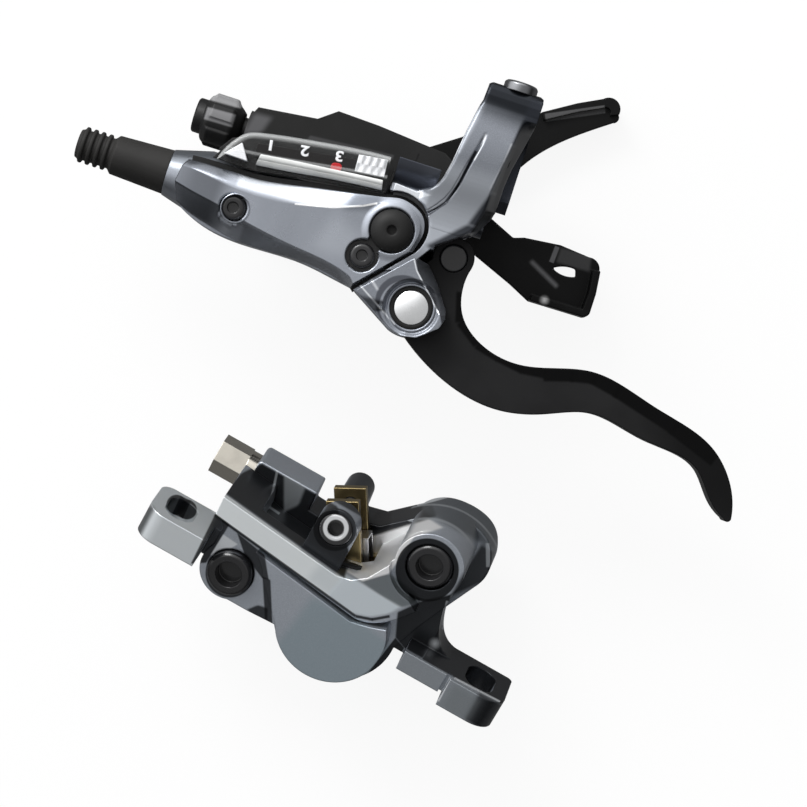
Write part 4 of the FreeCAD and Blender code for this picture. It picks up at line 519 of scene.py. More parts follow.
def loopMesh(name, rings, material, body, replaced=(), marks=None, capped=True, sharp=None):
    # rings is (rows, ring points, 3) in mm: quads between neighbouring rings, each ring closed, ends capped
    rows, around = rings.shape[:2]
    index = np.arange(rows * around).reshape(rows, around)
    after = np.roll(index, -1, axis=1)
    quads = np.stack((index[:-1], after[:-1], after[1:], index[1:]), axis=-1).reshape(-1, 4)
    faces = quads.tolist()
    if capped:
        faces += [index[0, ::-1].tolist(), index[-1].tolist()]
    mesh = bpy.data.meshes.new(name)
    mesh.from_pydata((rings.reshape(-1, 3) * mm).tolist(), [], faces)
    work = bmesh.new()
    work.from_mesh(mesh)
    bmesh.ops.remove_doubles(work, verts=work.verts, dist=0.000001)
    bmesh.ops.recalc_face_normals(work, faces=work.faces)
    work.to_mesh(mesh)
    work.free()
    mesh.polygons.foreach_set("use_smooth", [True] * len(mesh.polygons))
    if sharp:
        mesh.set_sharp_from_angle(angle=math.radians(sharp))
    mesh.materials.append(material)
    if marks:
        for key, value in marks.items():
            layer = mesh.attributes.new(key, "FLOAT", "POINT")
            spots = np.empty(len(mesh.vertices) * 3)
            mesh.vertices.foreach_get("co", spots)
            layer.data.foreach_set("value", value(spots.reshape(-1, 3) / mm))
    piece = bpy.data.objects.new(name, mesh)
    bpy.context.collection.objects.link(piece)
    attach(piece, body)
    if replaced:
        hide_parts(*replaced)


def lathe(profile, turns=64, wave=None):
    # (distance along, radius) rows turned round +X, the radius times wave(angle, along)
    profile = np.asarray(profile, float)
    angle = np.linspace(0, 2 * math.pi, turns, endpoint=False)[None, :]
    radius = profile[:, 1:2] * (wave(angle, profile[:, 0:1]) if wave else np.ones_like(angle))
    along = np.broadcast_to(profile[:, 0:1], radius.shape)
    return np.stack((along, radius * np.cos(angle), radius * np.sin(angle)), axis=-1)


def sink(points, away, floor, cell, lip=0.25):
    # carves a pocket where away(x, y) < 0: rim points slide on to the wall, the rim gets a small chamfer
    x, y = points[..., 0], points[..., 1]
    gap = away(x, y)
    step = 0.02
    wall = 0.03
    slopeX = (away(x + step, y) - gap) / step
    slopeY = (away(x, y + step) - gap) / step
    near = np.abs(gap) < cell * 0.8
    target = np.where(gap < 0, -wall, wall)
    push = np.where(near, target - gap, 0.0)
    points[..., 0] += slopeX * push
    points[..., 1] += slopeY * push
    rim = np.clip(lip - np.maximum(gap + push, 0), 0, lip)
    points[..., 2] -= rim * 0.9 * (gap > 0)
    points[..., 2] = np.where(gap < 0, floor, points[..., 2])
    return points


lid = {
    "rear": [(-61.6, -19.2), (-58, -18.9), (-52, -18.8), (-46, -18.7), (-40, -17.8), (-35, -16.8),
             (-30, -15.9), (-25, -15.0),
             (-20, -14.1), (-15, -13.2), (-10.4, -15.0), (-8.8, -18.6), (-9.8, -23.3)],
    "crease": [(-62.6, -20.8), (-59, -21.0), (-52.5, -21.9), (-46, -22.2), (-40.5, -21.9), (-35, -20.9),
               (-30, -19.7),
               (-25, -17.9), (-20.4, -15.7), (-15.4, -14.2), (-11.2, -15.7), (-9.7, -18.9), (-10.5, -23.6)],
    "ridge": [(-63.1, -24.4), (-58.6, -25.4), (-52, -26.6), (-46, -28.1), (-40, -29.2), (-35, -29.9),
              (-30.3, -30.4),
              (-26.8, -30.9), (-24.0, -31.5), (-22.4, -32.0), (-21.3, -32.4), (-20.5, -33.0), (-19.9, -33.7)],
    "front": [(-61.4, -28.6), (-58, -30.1), (-52, -31.7), (-46, -32.8), (-40, -32.9), (-35, -32.7),
              (-30.8, -32.7),
              (-27.6, -33.0), (-25.2, -33.4), (-23.4, -33.9), (-22.0, -34.3), (-20.9, -34.6), (-20.1, -34.9)],
    "rearHeight": [9.6, 11.0, 12.0, 12.1, 12.1, 12.2, 12.5, 13.4, 13.7, 13.7, 13.7, 13.7, 13.7],
    "creaseHeight": [10.4, 12.2, 13.8, 14.2, 14.25, 14.2, 14.2, 14.2, 14.1, 14.0, 14.0, 14.0, 14.0],
    "ridgeHeight": [10.2, 11.8, 13.5, 14.0, 14.1, 14.0, 14.0, 14.0, 14.0, 14.0, 14.0, 14.0, 14.0],
    # 1 is a crisp crease, 2 a soft one
    "crest": [1.5, 1.6, 1.8, 1.9, 1.8, 1.35, 1.1, 1.0, 1.0, 1.0, 1.0, 1.0, 1.0],
    "foot": 8.25,
    "frontFoot": 8.9,
    "cell": 0.14,
    "boss": (-15.2, -20.9),
    "bossRadius": 4.72,
    "bossFloor": 13.1,
    "swell": {"from": 4.4, "to": 6.6, "wide": 1.7, "tall": 0.45},
    "leftScrew": (-48.6, -26.6),
    "leftRadius": 2.95,
    "leftFloor": 11.65,
    "rightScrew": (-19.6, -27.8),
    "rightRadius": 3.5,
    "rightFloor": 11.7,
    "neckEnd": (-17.6, -24.2),
    "neckHalf": 1.7,
    "pocketTop": 13.4,
    "ring": (-48.9, -26.1),
    "colour": (0.29, 0.31, 0.35),
}


def fromSpot(x, y, spot):
    return np.hypot(x - spot[0], y - spot[1])


def keyhole(x, y):
    # distance to a round pocket joined to the boss by a straight neck
    rx, ry = lid["rightScrew"]
    bx, by = lid["neckEnd"]
    along = np.clip(((x - rx) * (bx - rx) + (y - ry) * (by - ry)) / ((bx - rx) ** 2 + (by - ry) ** 2), 0, 1)
    neck = np.hypot(x - rx - along * (bx - rx), y - ry - along * (by - ry)) - lid["neckHalf"]
    return np.minimum(fromSpot(x, y, lid["rightScrew"]) - lid["rightRadius"], neck)


def reservoirLid():
    # each ring crosses the lid: up the rear wall, over a curved slope to the crease, across the flat to the
    # ridge, down the steep front slope and back underneath; rings follow the lid's length
    samples = np.concatenate((np.array([0, 0.01, 0.03]), np.linspace(0.06, 11.94, 430),
                              np.array([11.97, 11.99, 12])))
    drop = np.zeros_like(samples)
    drop[[0, 1, 2, -3, -2, -1]] = 0.45, 0.15, 0.04, 0.04, 0.15, 0.45
    tall = {key: spline(lid[key + "Height"], samples) for key in ("rear", "crease", "ridge")}
    rear = raised(spline(lid["rear"], samples), tall["rear"])
    crease = raised(spline(lid["crease"], samples), tall["crease"])
    ridge = raised(spline(lid["ridge"], samples), tall["ridge"])
    front = raised(spline(lid["front"], samples), np.full_like(samples, lid["frontFoot"]))
    crest = spline(lid["crest"], samples)

    def column(one, other, share, height):
        return np.column_stack((one + (other - one) * share, height))

    foot = np.full_like(samples, lid["foot"])
    columns = [column(rear, rear, 0, foot), column(rear, crease, 0.0, tall["rear"] - 0.25)]
    for share in (0.03, 0.1, 0.18, 0.28, 0.38, 0.5, 0.62, 0.74, 0.85, 0.94):
        rise = 1 - (1 - share) ** crest
        columns.append(column(rear, crease, share, tall["rear"] + (tall["crease"] - tall["rear"]) * rise))
    for share in np.linspace(0, 1, 84):
        columns.append(column(crease, ridge, share, tall["crease"] + (tall["ridge"] - tall["crease"]) * share))
    for share in (0.05, 0.12, 0.3, 0.5, 0.7, 0.88, 0.97):
        columns.append(column(ridge, front, share,
                              tall["ridge"] - 0.12 + (lid["frontFoot"] - tall["ridge"] + 0.12) * share ** 1.12))
    columns.append(column(front, front, 0, foot))
    rings = np.stack(columns, axis=1)
    rings[:, 1:-1, 2] -= drop[:, None]
    top = rings[:, 2:-2]
    fromBoss = fromSpot(top[..., 0], top[..., 1], lid["boss"])
    swell = lid["swell"]
    rise = ease(swell["to"] - fromBoss, 0, swell["wide"])
    top[..., 2] += swell["tall"] * rise * (fromBoss > swell["from"])
    sink(top, lambda x, y: fromSpot(x, y, lid["boss"]) - lid["bossRadius"], lid["bossFloor"], lid["cell"])
    sink(top, keyhole, lid["rightFloor"], lid["cell"], 0.2)
    sink(top, lambda x, y: fromSpot(x, y, lid["leftScrew"]) - lid["leftRadius"], lid["leftFloor"], lid["cell"])

    def pocketMark(spots):
        # 1 on the walls and floors of the three pockets
        x, y, z = spots.T
        inBoss = fromSpot(x, y, lid["boss"]) < lid["bossRadius"] - 0.02
        inRound = fromSpot(x, y, lid["leftScrew"]) < lid["leftRadius"] - 0.03
        return (((keyhole(x, y) < 0.02) | inRound | inBoss) & (z < lid["pocketTop"])).astype(float)

    loopMesh("reservoirLid", rings, lidFinish, "fixed_parts", ("reservoir_lid",),
             {"pocket": pocketMark})


# the strip of painted shade that darkens the gap round the lid
gapShade = {
    "end": [(-9.8, -23.3), (-20.1, -34.9)],
    "endHeight": 11.0,
    "widths": [(0, 1.1), (60, 1.3), (110, 0.85), (130, 0.8)],
    "section": ((-0.4, 8.1), (-0.4, 9.3), (1.0, 9.3), (1.0, 8.1)),
}


def gapShadeStrip():
    # a black strip standing in for the shade beside the lid's rear edge and in the gap, an oblong ring carried
    # along the edge
    samples = np.linspace(0.2, 12, 160)
    edge = raised(spline(lid["rear"], samples), spline(lid["rearHeight"], samples))
    ends = raised(np.linspace(*gapShade["end"], 40)[1:], np.full(39, gapShade["endHeight"]))
    path = np.vstack((edge, ends))
    width = np.interp(np.arange(len(path)), *zip(*gapShade["widths"]))
    ahead = np.gradient(path, axis=0)
    ahead /= np.linalg.norm(ahead, axis=1)[:, None]
    out = np.column_stack((-ahead[:, 1], ahead[:, 0]))
    columns = []
    for share, height in gapShade["section"]:
        # a share above 0 is of the width, one below 0 is in mm, under the lid
        reach = width * share if share > 0 else np.full_like(width, share)
        columns.append(np.column_stack((path + out * reach[:, None], np.full_like(width, height))))
    rings = np.stack(columns, axis=1)
    loopMesh("gapShadeStrip", rings, finishes["seal_rubber"], "fixed_parts", sharp=35)


def lidFinishWithPockets():
    # the lid's lacquer, black inside the screw pockets, with painted highlights and painted shade over it
    g = Graph("lidLacquerPocketsPaintedLight")
    inside = g.node("ShaderNodeAttribute", {"attribute_name": "pocket"}, {}, "Fac")
    flakes = g.noise(5200.0, 1.0).between(0.35, 0.75)
    cloud = g.noise(90.0, 3.0)
    colour = lid["colour"]
    tone = g.mix(flakes * 0.15, colour, tuple(c * 1.6 for c in colour))
    tone = paintLightAndShade(g, tone, lidPaintedLight)
    tone = g.mix(inside, tone, (0.006, 0.006, 0.007))
    return g.set(colour=tone, metal=(inside * -1 + 1) * 0.82, rough=cloud * 0.06 + 0.24 + inside * 0.2,
                 coat=0.2, coatRough=0.12)


def collar(name, centre, profile, material, turns=96):
    # (height, radius) rows turned round an upright axis whose centre is a spot of the picture plane
    profile = np.array(profile, float)
    angle = np.linspace(0, 2 * math.pi, turns, endpoint=False)[None, :]
    x, y = raised(np.array([centre]), np.array([profile[:, 0].max()]))[0]
    radius, height = profile[:, 1:2], np.broadcast_to(profile[:, 0:1], (len(profile), turns))
    rings = np.stack((x + radius * np.cos(angle), y + radius * np.sin(angle), height), axis=-1)
    loopMesh(name, np.concatenate((rings, rings[:1])), material, "fixed_parts", capped=False,
             sharp=50)


lidFinish = lidFinishWithPockets()
reservoirLid()
gapShadeStrip()
ringProfile = [(11.4, 2.75), (13.9, 2.8), (14.25, 2.88), (14.35, 3.0), (14.3, 3.12), (14.0, 3.2), (11.4, 3.2)]
collar("screwCollar", lid["ring"], ringProfile, lidFinish)
print("lid built")

lug = {
    "pin": (-6.358, -34.755),
    "outline": [(-8.7, -24.1), (-18.9, -34.9), (-9.5, -40.3), (-7.0, -41.2), (-3.5, -40.6), (0.6, -37.2),
                (1.3, -35.0),
                (0.9, -33.2), (-2.4, -28.4), (-5.6, -24.8)],
    "crest": [(-9.2, -23.6), (-7.5, -26.8), (-4.0, -30.2), (0.1, -34.5), (0.9, -36.0)],
    "front": [(-19.5, -34.55), (-9.5, -40.3), (-7.4, -41.0)],
    "plateau": 13.3,
    "plateauFrom": (38, 62),  # degrees round the pin over which it rises, then falls
    "plateauTo": (182, 206),
    "low": 11.3,
    "rays": 300,
    "hole": 4.6,
    "hollow": (5.4, 6.3),
    "hollowFloor": 10.75,
    "lip": {"radius": 4.95, "from": 0.15, "to": 0.4, "tall": 0.3},
    "chamfer": 1.7,
    "chamferSlope": 0.25,
    "flankSlope": 2.6,
    "flankFoot": 5.6,
    "base": 10.5,
    "pinRing": [(10.5, 3.5), (10.95, 3.5), (11.1, 3.65), (11.1, 4.35), (10.95, 4.55), (10.5, 4.55)],
    "pinFace": [(10.5, 0.02), (11.3, 0.02), (11.3, 3.4), (11.2, 3.6), (10.5, 3.62)],
}


def fromLine(x, y, knots):
    # distance to the left of a chain of points, least over its pieces
    best = np.full_like(x, 99.0)
    sign = np.ones_like(x)
    for (ax, ay), (bx, by) in zip(knots, knots[1:]):
        along = np.clip(((x - ax) * (bx - ax) + (y - ay) * (by - ay)) / ((bx - ax) ** 2 + (by - ay) ** 2), 0, 1)
        gap = np.hypot(x - ax - along * (bx - ax), y - ay - along * (by - ay))
        side = np.sign((bx - ax) * (y - ay) - (by - ay) * (x - ax))
        sign = np.where(gap < best, side, sign)
        best = np.minimum(best, gap)
    return best * sign


def lugCap():
    # rays from the pin out to the outline; heights fall into a crescent beside the pin, over a front chamfer
    # and down a steep right flank
    angles = np.linspace(0, 2 * math.pi, lug["rays"], endpoint=False)
    px, py = lug["pin"]
    reach = np.full(lug["rays"], 99.0)
    for (ax, ay), (bx, by) in zip(lug["outline"], lug["outline"][1:] + lug["outline"][:1]):
        across = np.cos(angles) * (by - ay) - np.sin(angles) * (bx - ax)
        across = np.where(np.abs(across) < 1e-9, 1e-9, across)
        far = ((ax - px) * (by - ay) - (ay - py) * (bx - ax)) / across
        place = ((ax - px) * np.sin(angles) - (ay - py) * np.cos(angles)) / across
        reach = np.where((far > 0) & (place > -1e-6) & (place < 1 + 1e-6), np.minimum(reach, far), reach)
    reach = (np.roll(reach, 1) + 2 * reach + np.roll(reach, -1)) / 4
    shares = np.linspace(0, 1, 90)
    radius = lug["hole"] + (reach[None, :] - lug["hole"]) * shares[:, None]
    x, y = px + radius * np.cos(angles), py + radius * np.sin(angles)
    turn = np.degrees(angles)[None, :]
    high = ease(turn, *lug["plateauFrom"]) * (1 - ease(turn, *lug["plateauTo"]))
    level = lug["low"] + (lug["plateau"] - lug["low"]) * high
    hollow = 1 - ease(radius, *lug["hollow"])
    lip = lug["lip"]
    height = level - (level - lug["hollowFloor"]) * hollow
    height = height + lip["tall"] * (1 - ease(np.abs(radius - lip["radius"]), lip["from"], lip["to"]))
    chamfer = np.clip(lug["chamfer"] - fromLine(x, y, lug["front"]), 0, 3)
    beyond = np.clip(fromLine(x, y, lug["crest"]), 0, 4)
    height = height - chamfer * lug["chamferSlope"] - beyond * lug["flankSlope"]
    height = np.maximum(height, np.where(beyond > 0, lug["flankFoot"], lug["base"]))
    spots = raised(np.stack((x, y), axis=-1), height)
    rings = np.concatenate((spots, height[..., None]), axis=-1)
    inner, outer = rings[:1].copy(), rings[-1:].copy()
    inner[..., 2] = lug["base"]
    outer[..., 2] = np.where(beyond[-1:] > 0, lug["flankFoot"] - 0.1, lug["base"] - 0.05)
    rings = np.concatenate((inner, rings, outer))
    loopMesh("lugCap", rings, finishOf["lever_housing"], "fixed_parts", capped=False)


lugCap()
collar("pinSeal", lug["pin"], lug["pinRing"], finishes["seal_rubber"])
collar("pinFace", lug["pin"], lug["pinFace"], finishes["bright_steel"])
print("lug built")

arm = {
    # places across the arm, in the picture plane, against the place along it
    "left": [(-17.4, -8.1), (-15, -9.0), (-13, -10.8), (-12, -12.6), (-11, -13.4), (-10, -12.0), (-9, -10.3),
             (-8, -9.4),
             (-6, -8.5), (-2, -7.7), (4, -7.0), (11, -5.85), (12.5, -5.45), (15.4, -5.3), (16.4, -5.1),
             (16.75, -4.5)],
    "crease": [(-17.4, -1.7), (-16, 0.2), (-15, 1.05), (-13, 1.6), (-10, 2.3), (-6, 2.4), (0, 3.0), (6, 3.85),
               (10, 4.25), (12.5, 4.3), (16.4, 4.1), (16.75, 3.8)],
    "foot": [(-17.4, -1.0), (-15, 2.0), (-12, 3.6), (-10, 4.5), (-4, 4.6), (0, 5.0), (8, 6.6), (11, 7.1),
             (15.4, 7.12),
             (16.4, 6.9), (16.75, 6.2)],
    "groove": [(-15, -10.2), (-13, -8.3), (-12, -7.5), (-10, -6.2), (-8, -5.4), (-6, -4.95), (-3, -4.4),
               (0, -3.75),
               (3, -3.05), (5.4, -2.65)],
    # heights in mm, against the place along it: the groove's depth, the fall of the rounded ends with a small
    # swell before it, and the flank's fall
    "grooveDepth": [(-15, 0.6), (-12, 1.0), (-2, 1.0), (2, 0.7), (6, 0.0)],
    "endFall": [(-17.4, 0.25), (-17, 0.05), (-9, 0.05), (-4, 0.0), (11, -0.04), (12.5, -0.1), (14, -0.19),
                (15.4, 0.04), (16.4, 0.64), (16.75, 1.54)],
    "flankFall": [(-17.4, 7.6), (-15, 7.9), (-11, 9.1), (-9, 9.6), (4, 9.4), (6, 9.3), (8, 8.95), (10, 2.96),
                  (11, 0.27), (12.5, 0.1), (15.4, 0.2), (16.4, 0.7), (16.75, 0.8)],
    "skin": 0.12,
    "probes": {"rows": np.arange(-17.0, 15.0, 1.0), "across": np.arange(-9.5, 7.0, 0.5)},
    "creaseSoft": 0.12,
    "rim": {"wide": 0.7, "tall": 0.55},
    "grooveHalf": 0.3,
    "seat": {"from": -9.75, "wide": 2.6, "height": 13.15},
    "thick": 0.6,
    "underFlank": ((10.9, 11.1), (8.5, 17.0)),
}


def solidTops(nodes, rows, across):
    # the highest point of the solids, in mm, that the lines from the eye meet on each row of the picture plane
    start = Vector(eye) * mm
    meshes = [frame["nodes"][node].data for node in nodes]
    trees = [BVHTree.FromPolygons([vertex.co for vertex in mesh.vertices],
                                  [face.vertices for face in mesh.polygons]) for mesh in meshes]
    tops = []
    for row in rows:
        ways = [(Vector((place, row, planeHeight)) * mm - start).normalized() for place in across]
        spots = [tree.ray_cast(start, way)[0] for tree in trees for way in ways]
        tops.append(max(spot.z for spot in spots if spot) / mm)
    return np.array(tops)


def armCap():
    # a crowned skin over the arm, a little above the solids: each row runs from the left edge over a rounded
    # rim, the groove and the crease down the right flank; on the left it falls in a soft ramp to the display
    y = np.concatenate((np.linspace(-17.4, 11, 150), np.linspace(11.1, 16.75, 46)))

    def along(key):
        return np.interp(y, *zip(*arm[key]))[:, None]

    left, crease, foot, groove = along("left"), along("crease"), along("foot"), along("groove")
    probes = arm["probes"]
    tops = solidTops(("lever_housing", "clamp_band"), probes["rows"], probes["across"])
    tall = np.interp(y, probes["rows"], tops)[:, None] + arm["skin"] - along("endFall")
    share = np.concatenate((np.linspace(0, 0.12, 9), np.linspace(0.135, 0.7, 76),
                            np.linspace(0.72, 1, 24)))[None, :]
    shoulder = crease - 0.4
    wide = np.where(share < 0.7, left + (shoulder - left) * share / 0.7,
                    shoulder + (foot - shoulder) * (share - 0.7) / 0.3)
    rows = np.broadcast_to(y[:, None], wide.shape)
    soft = arm["creaseSoft"]
    slope = along("flankFall") / (foot - crease)
    height = tall - slope * soft * np.log1p(np.exp(np.clip((wide - crease) / soft, -30, 60)))
    height = height - arm["rim"]["tall"] * np.clip(1 - (wide - left) / arm["rim"]["wide"], 0, 1) ** 2
    height = height - along("grooveDepth") * np.exp(-((wide - groove) / arm["grooveHalf"]) ** 2)
    seat = arm["seat"]
    ramp = ease(seat["from"] - wide, 0, seat["wide"])
    height = height * (1 - ramp) + seat["height"] * ramp
    spots = np.concatenate((raised(np.stack((wide, rows), axis=-1), height), height[..., None]), axis=-1)
    under = spots[:, ::-1].copy()
    floor = np.where(wide > crease, np.interp(y, *arm["underFlank"])[:, None], 99.0)
    under[..., 2] = np.minimum(under[..., 2] - arm["thick"], floor[:, ::-1])
    rings = np.concatenate((spots, under), axis=1)
    loopMesh("armCap", rings, finishOf["lever_housing"], "fixed_parts", sharp=60)


armCap()
print("arm built")

adjuster = {
    "end": -65.2, "back": -8.1, "height": -20.6, "radius": 6.0,
    "padTurn": 12.0, "padHalf": 16.0, "padEdge": 3.0,  # degrees
    "padFrom": 3.2, "padTo": 8.9, "padEase": 0.4, "padDrop": 0.085,
    "gripFrom": 2.2, "gripTo": 10.0,
}


def barrelAdjuster():
    # a turned knob whose radius drops by padDrop of itself between six raised grip pads, 60 degrees apart
    start, radius = adjuster["end"], adjuster["radius"]
    profile = [(5.0, 2.6), (0.0, 2.6), (0.0, 3.4), (0.15, 3.7), (0.5, 3.9), (1.9, 3.9), (2.1, 4.0),
               (2.3, radius - 1.0),
               (2.6, radius - 0.5), (3.1, radius - 0.12), (3.5, radius), (3.7, radius), (4.0, radius)]
    profile += [(4.0 + step * 0.2, radius) for step in range(1, 22)]
    profile += [(8.6, radius - 0.05), (9.0, radius - 0.3), (9.4, radius - 0.8), (10.0, radius - 1.7),
                (10.9, 3.5),
                (11.0, 2.75), (16.4, 2.75), (16.4, 1.0), (5.0, 1.0)]

    def wave(angle, along):
        turn = np.degrees(angle) - adjuster["padTurn"]
        off = np.abs((turn + 30) % 60 - 30)
        edge = ease(off, adjuster["padHalf"], adjuster["padHalf"] + adjuster["padEdge"])
        fade = adjuster["padEase"]
        inPad = np.clip((along - adjuster["padFrom"]) / fade, 0,
                        1) * np.clip((adjuster["padTo"] - along) / fade, 0, 1)
        grip = (along > adjuster["gripFrom"]) & (along < adjuster["gripTo"])
        depth = np.where(grip, 1 - np.maximum(edge, 1 - inPad), 1.0)
        return 1 - adjuster["padDrop"] * (1 - depth)

    rings = lathe(profile, 144, wave)
    rings += np.array((start, adjuster["back"], adjuster["height"]))
    loopMesh("barrelAdjuster", rings, finishOf["barrel_adjuster"], "adjuster",
             ("barrel_adjuster",),
             capped=False, sharp=50)


barrelAdjuster()
print("adjuster built")

window = {
    "rear": [(-55.9, -17.3), (-55.0, -14.8), (-53.2, -11.9), (-50.6, -9.7), (-45, -8.4), (-38, -7.3),
             (-30, -6.2),
             (-24, -5.6), (-20.4, -5.4)],
    "front": [(-55.0, -17.6), (-53.0, -17.7), (-50.6, -17.6), (-48.6, -17.4), (-44, -16.9), (-38, -16.0),
              (-30, -14.8),
              (-24, -14.0), (-19.4, -13.4)],
    "rearHeight": 13.0,
    "frontHeight": 10.5,
    "floor": 10.02,
    "top": 14.75,
    "rimFrom": 14.0,
}


def windowRings():
    # each ring crosses the cover from its rear foot over the flat top and the rounded front slope
    samples = np.linspace(0, len(window["rear"]) - 1, 150)
    high, low = window["top"], window["floor"]
    rear = raised(spline(window["rear"], samples), np.full_like(samples, window["rearHeight"]))
    front = raised(spline(window["front"], samples), np.full_like(samples, window["frontHeight"]))
    across = front - rear
    wide = np.linalg.norm(across, axis=1)
    across /= wide[:, None]

    def column(side, inset, height):
        inset = np.minimum(inset, wide * (0.3 if side == "rear" else 0.62))
        start, sign = (rear, 1) if side == "rear" else (front, -1)
        return np.column_stack((start + across * (sign * inset)[:, None], np.full(len(samples), height)))

    section = [("rear", 0.0, low), ("rear", 0.0, high - 0.6), ("rear", 0.18, high - 0.2), ("rear", 0.55, high),
               ("rear", 0.95, high), ("rear", 1.2, high), ("rear", 1.5, high), ("rear", 1.9, high),
               ("front", 4.4, high),
               ("front", 3.9, high), ("front", 3.6, high), ("front", 3.3, high - 0.05),
               ("front", 2.9, high - 0.4),
               ("front", 2.5, high - 0.85), ("front", 1.2, low + 1.7), ("front", 0.7, low + 1.0),
               ("front", 0.25, low + 0.5), ("front", 0.0, low)]
    columns = [column(*row) for row in section]
    return np.stack(columns, axis=1), rear, front


def clearCoverEdgeHighlight():
    # nearly invisible plastic, with a painted highlight: paler along its edges where light gathers
    g = Graph("clearCoverEdgeHighlight")
    rim = g.node("ShaderNodeAttribute", {"attribute_name": "rim"}, {}, "Fac")
    return g.set(colour=(0.86, 0.88, 0.88), rough=g.noise(160.0, 2.0) * 0.04 + 0.04, alpha=rim * 0.36 + 0.008,
                 spec=0.5,
                 coat=0.0, coatRough=0.03)


rings, rearEdge, frontEdge = windowRings()


def rimHighlightMark(spots):
    # where the painted highlight goes: 1 on the cover's edges, 0 a little way in
    def apart(line, inset, width):
        gaps = np.linalg.norm(spots[:, None, :2] - line[None, :, :], axis=2).min(axis=1)
        return np.clip(1 - np.abs(gaps - inset) / width, 0, 1)

    top = spots[:, 2] > window["rimFrom"]
    rear = apart(rearEdge, 0.5, 0.9) * top
    front = apart(frontEdge, 3.4, 0.45) * top
    return np.maximum(rear, front)


loopMesh("windowCover", rings, clearCoverEdgeHighlight(), "fixed_parts", ("indicator_window",),
         {"rim": rimHighlightMark},
         sharp=40)

strip = {
    "top": [(-47.2, -13.4), (-40, -12.5), (-33, -11.8), (-26, -11.1), (-20.6, -10.6)],
    "bottom": [(-47.6, -15.9), (-40, -15.0), (-33, -14.0), (-26, -13.2), (-20.2, -12.7)],
}


def paleStrip():
    # the frosted bar in front of the numerals, a low rounded ridge between two lines
    samples = np.linspace(0, 4, 80)
    rear = raised(spline(strip["top"], samples), np.full_like(samples, 12.0))
    front = raised(spline(strip["bottom"], samples), np.full_like(samples, 11.0))
    rows = [(0.0, 10.05), (0.0, 12.2), (0.04, 12.5), (0.12, 12.6), (0.3, 12.55), (0.48, 12.3), (0.5, 12.05),
            (0.53, 12.05),
            (0.56, 12.2), (0.75, 11.9), (0.92, 11.4), (1.0, 10.9), (1.0, 10.05)]
    rings = np.stack([np.column_stack((rear + (front - rear) * share, np.full(len(samples), height)))
                      for share, height in rows], axis=1)
    loopMesh("paleStrip", rings, finishes["display_grey"], "fixed_parts",
             ("indicator_diffuser",),
             sharp=50)


paleStrip()


facets = {
    "rear": [(-27.2, -6.9), (-20.9, -6.1)],
    "front": [(-27.0, -10.6), (-20.6, -9.9)],
    "height": 12.4,
    "foot": 11.4,
    "low": 11.5,
    "tall": 1.3,
    "ribs": 4.0,
    "slant": 8,
}


def prism():
    # the ribbed end of the display: a ribbon whose height zigzags along its length
    samples = np.linspace(0, 1, 61)
    rear, front = (raised(np.linspace(*facets[key], 61), np.full(61, facets["height"])) for key in ("rear",
                                                                                                    "front"))
    tall = facets["low"] + facets["tall"] * np.abs((samples * facets["ribs"] + 0.25) % 1.0 - 0.5) * 2.0
    foot = np.full_like(tall, facets["foot"])
    section = ((rear, foot), (rear, tall), ((rear + front) / 2, np.roll(tall, facets["slant"])),
               (front, tall), (front, foot))
    rings = np.stack([np.column_stack(row) for row in section], axis=1)
    loopMesh("prismEnd", rings, finishes["display_white"], "fixed_parts", sharp=20)


prism()


numerals = {
    "spots": {"1": (-45.8, -10.8), "2": (-38.5, -9.7), "3": (-31.1, -8.5)},
    "size": 0.003036,
    "height": 11.45,
    "turn": 188.6,
    "stretch": 1.25,
}


def numeral(digit, spot):
    # a flat digit on the black plate, made a mesh before it is placed
    words = bpy.data.curves.new("digit" + digit, "FONT")
    words.body = digit
    words.align_x, words.align_y = "CENTER", "CENTER"
    words.size = numerals["size"]
    words.extrude = 0.00003
    words.offset = 0.0001
    holder = bpy.data.objects.new("digitCurve" + digit, words)
    bpy.context.collection.objects.link(holder)
    mesh = bpy.data.meshes.new_from_object(holder.evaluated_get(bpy.context.evaluated_depsgraph_get()))
    bpy.data.objects.remove(holder)
    x, y = raised(np.array([spot]), np.array([numerals["height"]]))[0]
    turn = Matrix.Rotation(math.radians(numerals["turn"]), 4, "Z")
    place = Matrix.Translation((x * mm, y * mm, (numerals["height"] - 0.01) * mm))
    mesh.transform(place @ turn @ Matrix.Diagonal((numerals["stretch"], 1.0, 1.0, 1.0)))
    mesh.materials.clear()
    mesh.materials.append(finishes["display_white"])
    piece = bpy.data.objects.new("numeral" + digit, mesh)
    bpy.context.collection.objects.link(piece)
    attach(piece, "fixed_parts")


for digit, spot in numerals["spots"].items():
    numeral(digit, spot)
print("display built")

studio = {
    "lens": 146.2,
    "across": (0.951, 0.309, 0.0),  # the picture's right and up, turned 18 degrees
    "up": (-0.309, 0.951, 0.0),
    "floor": -0.0331,
    "floorSize": 6.0,
    "floorGlow": {"seen": 0.8, "base": 0.2, "share": 0.9},
    "lamps": (("key", (-0.45, 0.9, 0.75), (0.5, 0.4), 8.0),),
    "skies": (((-0.42, 0.78, 0.30), (0.22, 0.95), 2.1), ((-0.1, 0.35, 1.0), (0.05, 0.72), 0.55)),
    "skyDark": 0.02,
}


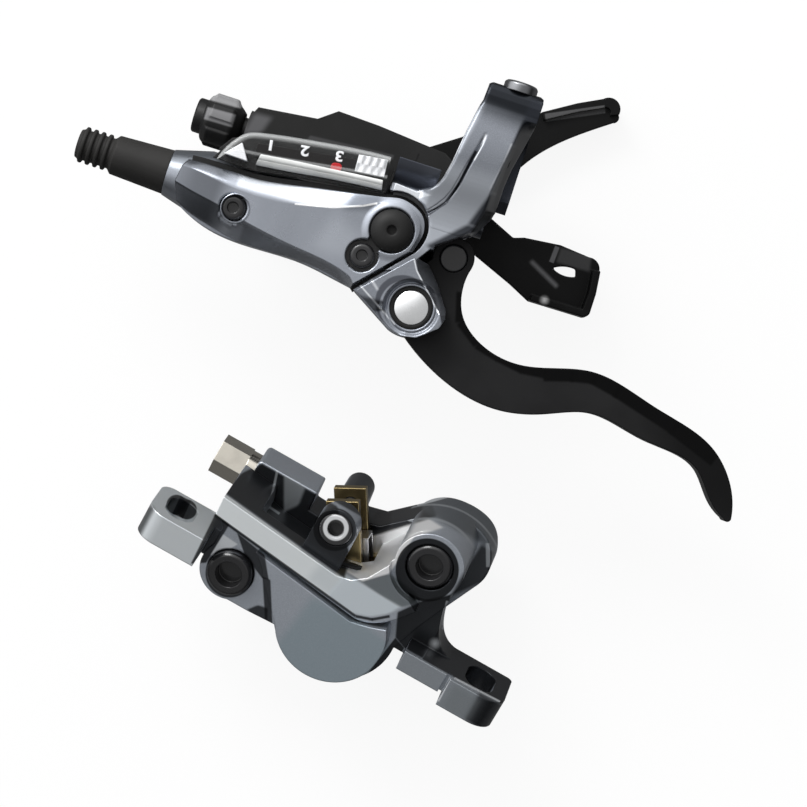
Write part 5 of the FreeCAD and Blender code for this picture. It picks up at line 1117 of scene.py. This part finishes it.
def buildStudio():
    across, upward = np.array(studio["across"]), np.array(studio["up"])
    aim = np.array((*eye[:2], 0.0)) * mm
    camera = bpy.data.objects.new("camera", bpy.data.cameras.new("camera"))
    bpy.context.collection.objects.link(camera)
    camera.data.lens = studio["lens"]
    camera.data.sensor_width = 36.0
    camera.data.clip_start = 0.01
    camera.data.clip_end = 20.0
    turn = np.eye(4)
    turn[:3, 0], turn[:3, 1] = across, upward
    turn[:3, 3] = np.array(eye) * mm
    camera.matrix_world = Matrix(turn)
    bpy.context.scene.camera = camera

    bpy.ops.mesh.primitive_plane_add(size=studio["floorSize"], location=(0, 0, studio["floor"]))
    floor = bpy.context.object
    floor.name = "floor"
    # nearly white to the camera, pale grey to metal and glass, plain to the rest, so that the shadow stays
    glare = studio["floorGlow"]
    g = Graph("paleFloor")
    path = g.tree.nodes.new("ShaderNodeLightPath")
    seen = Wire(g, path.outputs["Is Camera Ray"])
    mirrored = Wire(g, path.outputs["Is Glossy Ray"]) + Wire(g, path.outputs["Is Transmission Ray"])
    glow = g.node("ShaderNodeEmission", {}, {"Color": (1, 1, 1),
                                             "Strength": seen * glare["seen"] + glare["base"]})
    plain = g.set(colour=(0.8, 0.8, 0.8), rough=0.9)
    both = g.node("ShaderNodeMixShader", {}, {0: seen * glare["share"] + mirrored,
                                              1: Wire(g, g.shader.outputs[0]),
                                              2: glow})
    g.tree.links.new(both.socket, g.tree.nodes["Material Output"].inputs[0])
    floor.data.materials.append(plain)

    def softBox(name, offset, size, power):
        lamp = bpy.data.lights.new(name, "AREA")
        lamp.shape = "RECTANGLE"
        lamp.size, lamp.size_y = size
        lamp.energy = power
        holder = bpy.data.objects.new(name, lamp)
        bpy.context.collection.objects.link(holder)
        side, up, height = offset
        spot = aim + across * side + upward * up + np.array((0, 0, height))
        back = (spot - aim) / np.linalg.norm(spot - aim)
        right = np.cross(upward, back)
        right /= np.linalg.norm(right)
        turned = np.eye(4)
        turned[:3, 0], turned[:3, 1], turned[:3, 2], turned[:3, 3] = right, np.cross(back, right), back, spot
        holder.matrix_world = Matrix(turned)

    for name, offset, size, power in studio["lamps"]:
        softBox(name, offset, size, power)

    world = bpy.data.worlds.new("studio")
    bpy.context.scene.world = world
    world.use_nodes = True
    sky = Graph.__new__(Graph)
    sky.tree = world.node_tree
    path = sky.tree.nodes.new("ShaderNodeLightPath")
    way = sky.node("ShaderNodeTexCoord", {}, {}, "Generated")
    # two soft lobes of light: a strong one low on the upper left and a weak one overhead
    bright = studio["skyDark"]
    for (right, up, top), (low, high), strength in studio["skies"]:
        toward = across * right + upward * up + np.array((0, 0, top))
        lean = sky.node("ShaderNodeVectorMath", {"operation": "DOT_PRODUCT"}, {0: way, 1: tuple(toward)},
                        "Value")
        bright = lean.between(low, high) * strength + bright
    straight = Wire(sky, path.outputs["Is Camera Ray"])
    back = sky.tree.nodes["Background"]
    back.inputs["Color"].default_value = (1, 1, 1, 1)
    sky.feed(back.inputs["Strength"], straight + (1 - straight) * bright)
    bpy.context.scene.view_settings.view_transform = "Standard"


buildStudio()
print("studio ready")
